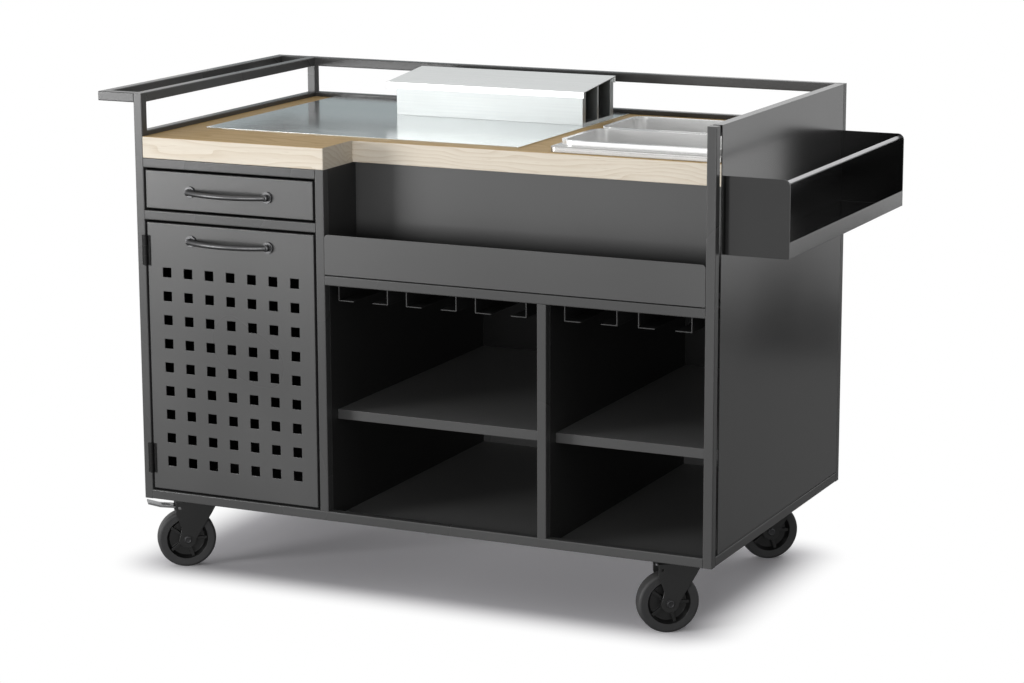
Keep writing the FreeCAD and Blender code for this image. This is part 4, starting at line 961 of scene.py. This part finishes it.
@dataclass
class Studio:
    """Pale floor, cards for reflections, soft light and the camera."""

    location: Point = (2.5770, -5.4038, 1.7614)
    turn: Point = (78.020, 0.174, 25.242)
    lens: float = 100.956
    sensor: float = 36.0
    floor_half: float = 14.0
    floor_bounce: float = 0.45
    floor_seen: float = 1.14
    floor_tint: Color = (0.978, 0.962, 1.0)
    far_white: tuple[float, float] = (3.3, 3.8)
    painted_shadow_left: float = 0.66
    shade_even: float = -0.05
    shade_middle: Point = (-0.06, 0.02, 0.0)
    shade_half: Point = (0.58, 0.29, 0.0)
    shade_fade: float = 0.16
    # Painted reflections: a grey card for the plate, and dark cards that paint shade into the guard rails and
    # the lower side panel.
    cards: tuple[Card, ...] = (
        Card("plate_card", ((-2.05, 2.2, 1.02), (-0.55, 2.2, 1.02), (-0.55, 2.2, 1.62), (-2.05, 2.2, 1.62)),
             (0.35, 0.39, 0.40)),
        Card("rail_card", ((0.15, 2.2, 0.25), (1.06, 2.2, 0.25), (1.06, 2.2, 1.05), (0.15, 2.2, 1.05)),
             (0.01, 0.01, 0.01)),
        Card("floor_flag", ((1.62, 2.18, 0.003), (2.18, 3.66, 0.003), (2.18, 5.10, 0.003),
                            (1.25, 2.28, 0.003)), (0.06, 0.06, 0.06)))
    lamps: tuple[Lamp, ...] = (
        Lamp("key_softbox", (-4.3, -4.9, 1.05), (0.0, -0.2, 0.55), (2.2, 1.6), 215.0),
        Lamp("fill_softbox", (0.7, -6.4, 1.0), (0.0, -0.2, 0.55), (3.0, 1.6), 135.0))
    sky_front: float = 0.12
    sky_back: float = 1.0
    sky_way: Point = (-0.55, 0.65, 0.45)
    sky_spread: tuple[float, float] = (-0.2, 0.9)

    def build(self) -> None:
        """Sets up the floor, the world, the cards, the lamps and the camera."""
        bpy.context.scene.view_settings.view_transform = "Standard"
        self.build_floor()
        self.build_world()
        for card in self.cards:
            self.build_card(card)
        for lamp in self.lamps:
            self.add_lamp(lamp)
        self.add_camera()

    @staticmethod
    def seen_ray(wiring: Wiring) -> bpy.types.NodeSocket:
        """Tells the camera, glossy and transmission rays, which see the white surroundings.

        Args:
            wiring: the material's or the world's wiring.

        Returns:
            1 for such a ray and 0 for any other.
        """
        path = wiring.node("LightPath").outputs
        first = wiring.calc("MAXIMUM", path["Is Camera Ray"], path["Is Glossy Ray"])
        return wiring.calc("MAXIMUM", first, path["Is Transmission Ray"])

    def floor_tone(self, wiring: Wiring, place: bpy.types.NodeSocket) -> bpy.types.NodeSocket:
        """Gives the tone that the camera sees in the shade, and a painted shadow deeper at the left end.

        Args:
            wiring: the floor's wiring.
            place: the place on the floor.

        Returns:
            The tone.
        """
        plain = tuple(self.floor_seen * part for part in self.floor_tint)
        # Painted shadow: the tone is darker towards the left end of the floor.
        deep = tuple(self.painted_shadow_left * part for part in plain)
        across = wiring.node("SeparateXYZ", Vector=place).outputs["X"]
        share = wiring.spread(across, -self.shade_half[0], self.shade_even, 0.0, 1.0)
        return wiring.blend(share, deep, plain)

    def past_shade(self, wiring: Wiring, place: bpy.types.NodeSocket) -> bpy.types.NodeSocket:
        """Gives 0 in the shade under the cart and 1 where it has faded out.

        Args:
            wiring: the floor's wiring.
            place: the place on the floor.

        Returns:
            How far the shade has faded.
        """
        apart = wiring.vector("SUBTRACT", place, self.shade_middle).outputs[0]
        aside = wiring.vector("ABSOLUTE", apart).outputs[0]
        over = wiring.vector("SUBTRACT", aside, self.shade_half).outputs[0]
        beyond = wiring.vector("MAXIMUM", over, (0.0, 0.0, 0.0)).outputs[0]
        clear = wiring.vector("LENGTH", beyond).outputs["Value"]
        return wiring.node("MapRange", {"interpolation_type": "SMOOTHSTEP"}, Value=clear,
                           From_Max=self.shade_fade).outputs[0]

    def build_floor(self) -> None:
        """Adds the floor: its tone and shadow near the cart, a painted shadow at the left end, plain white
        beyond.
        """
        form = bmesh.new()
        bmesh.ops.create_grid(form, x_segments=1, y_segments=1, size=self.floor_half)
        material, wiring = bare_material("studio_floor")
        eye = wiring.node("LightPath").outputs["Is Camera Ray"]
        place = wiring.place()
        bounce = (self.floor_bounce,) * 3
        matt = wiring.node("BsdfDiffuse", Color=wiring.blend(eye, bounce, self.floor_tone(wiring, place)))
        white = wiring.node("Emission", Color=WHITE, Strength=1.0)
        near = wiring.calc("MULTIPLY", self.past_shade(wiring, place), eye)
        away = wiring.vector("LENGTH", place).outputs["Value"]
        far = wiring.calc("MULTIPLY", wiring.spread(away, *self.far_white, 0.0, 1.0), self.seen_ray(wiring))
        mix = wiring.node("MixShader", Fac=wiring.calc("MAXIMUM", near, far))
        wiring.feed(mix.inputs[1], matt.outputs[0])
        wiring.feed(mix.inputs[2], white.outputs[0])
        wiring.feed(wiring.node("OutputMaterial").inputs["Surface"], mix.outputs[0])
        floor = link_object("studio_floor", form, material)

    def build_world(self) -> None:
        """Makes the surroundings white to the eye, and a gentle light that is stronger from the backdrop."""
        world = bpy.data.worlds.new("studio")
        bpy.context.scene.world = world
        world.use_nodes = True
        world.node_tree.nodes.clear()
        wiring = Wiring(world.node_tree)
        way = wiring.vector("DOT_PRODUCT", wiring.node("TexCoord").outputs["Generated"], self.sky_way)
        light = wiring.spread(way.outputs["Value"], *self.sky_spread, self.sky_front, self.sky_back)
        strength = wiring.calc("MAXIMUM", light, self.seen_ray(wiring))
        back = wiring.node("Background", Color=WHITE, Strength=strength)
        wiring.feed(wiring.node("OutputWorld").inputs["Surface"], back.outputs[0])

    @staticmethod
    def build_card(card: Card) -> None:
        """Puts up a glowing card, out of the picture, as a painted reflection in polished faces.

        Args:
            card: which one.
        """
        form = bmesh.new()
        form.faces.new([form.verts.new(corner) for corner in card.corners])
        material, wiring = bare_material(card.name)
        glow = wiring.node("Emission", Color=card.tone, Strength=1.0)
        wiring.feed(wiring.node("OutputMaterial").inputs["Surface"], glow.outputs[0])
        board = link_object(card.name, form, material)
        board.visible_camera = False
        board.visible_diffuse = False
        board.visible_shadow = False

    @staticmethod
    def add_lamp(lamp: Lamp) -> None:
        """Adds a soft rectangular lamp.

        Args:
            lamp: which one.
        """
        light = bpy.data.lights.new(lamp.name, "AREA")
        light.shape = "RECTANGLE"
        light.size, light.size_y = lamp.size
        light.energy = lamp.watts
        holder = bpy.data.objects.new(lamp.name, light)
        holder.location = lamp.spot
        holder.rotation_euler = (Vector(lamp.aim) - Vector(lamp.spot)).to_track_quat("-Z", "Y").to_euler()
        bpy.context.scene.collection.objects.link(holder)

    def add_camera(self) -> None:
        """Adds the camera at the photograph's viewing angle."""
        lens = bpy.data.cameras.new("camera")
        lens.sensor_width = self.sensor
        lens.lens = self.lens
        camera = bpy.data.objects.new("camera", lens)
        camera.location = self.location
        camera.rotation_euler = Euler([math.radians(angle) for angle in self.turn])
        bpy.context.scene.collection.objects.link(camera)
        bpy.context.scene.camera = camera


def main() -> None:
    """Dresses each sub-assembly in turn, then sets up the studio."""
    effects = Effects()
    for assembly in (FrameTubes(), SheetMetal(), SideRack(), Worktop(), Cabinet(), Casters()):
        log.info("%s", type(assembly).__name__)
        assembly.dress(effects)
    Studio().build()


if __name__ == "__main__":
    main()
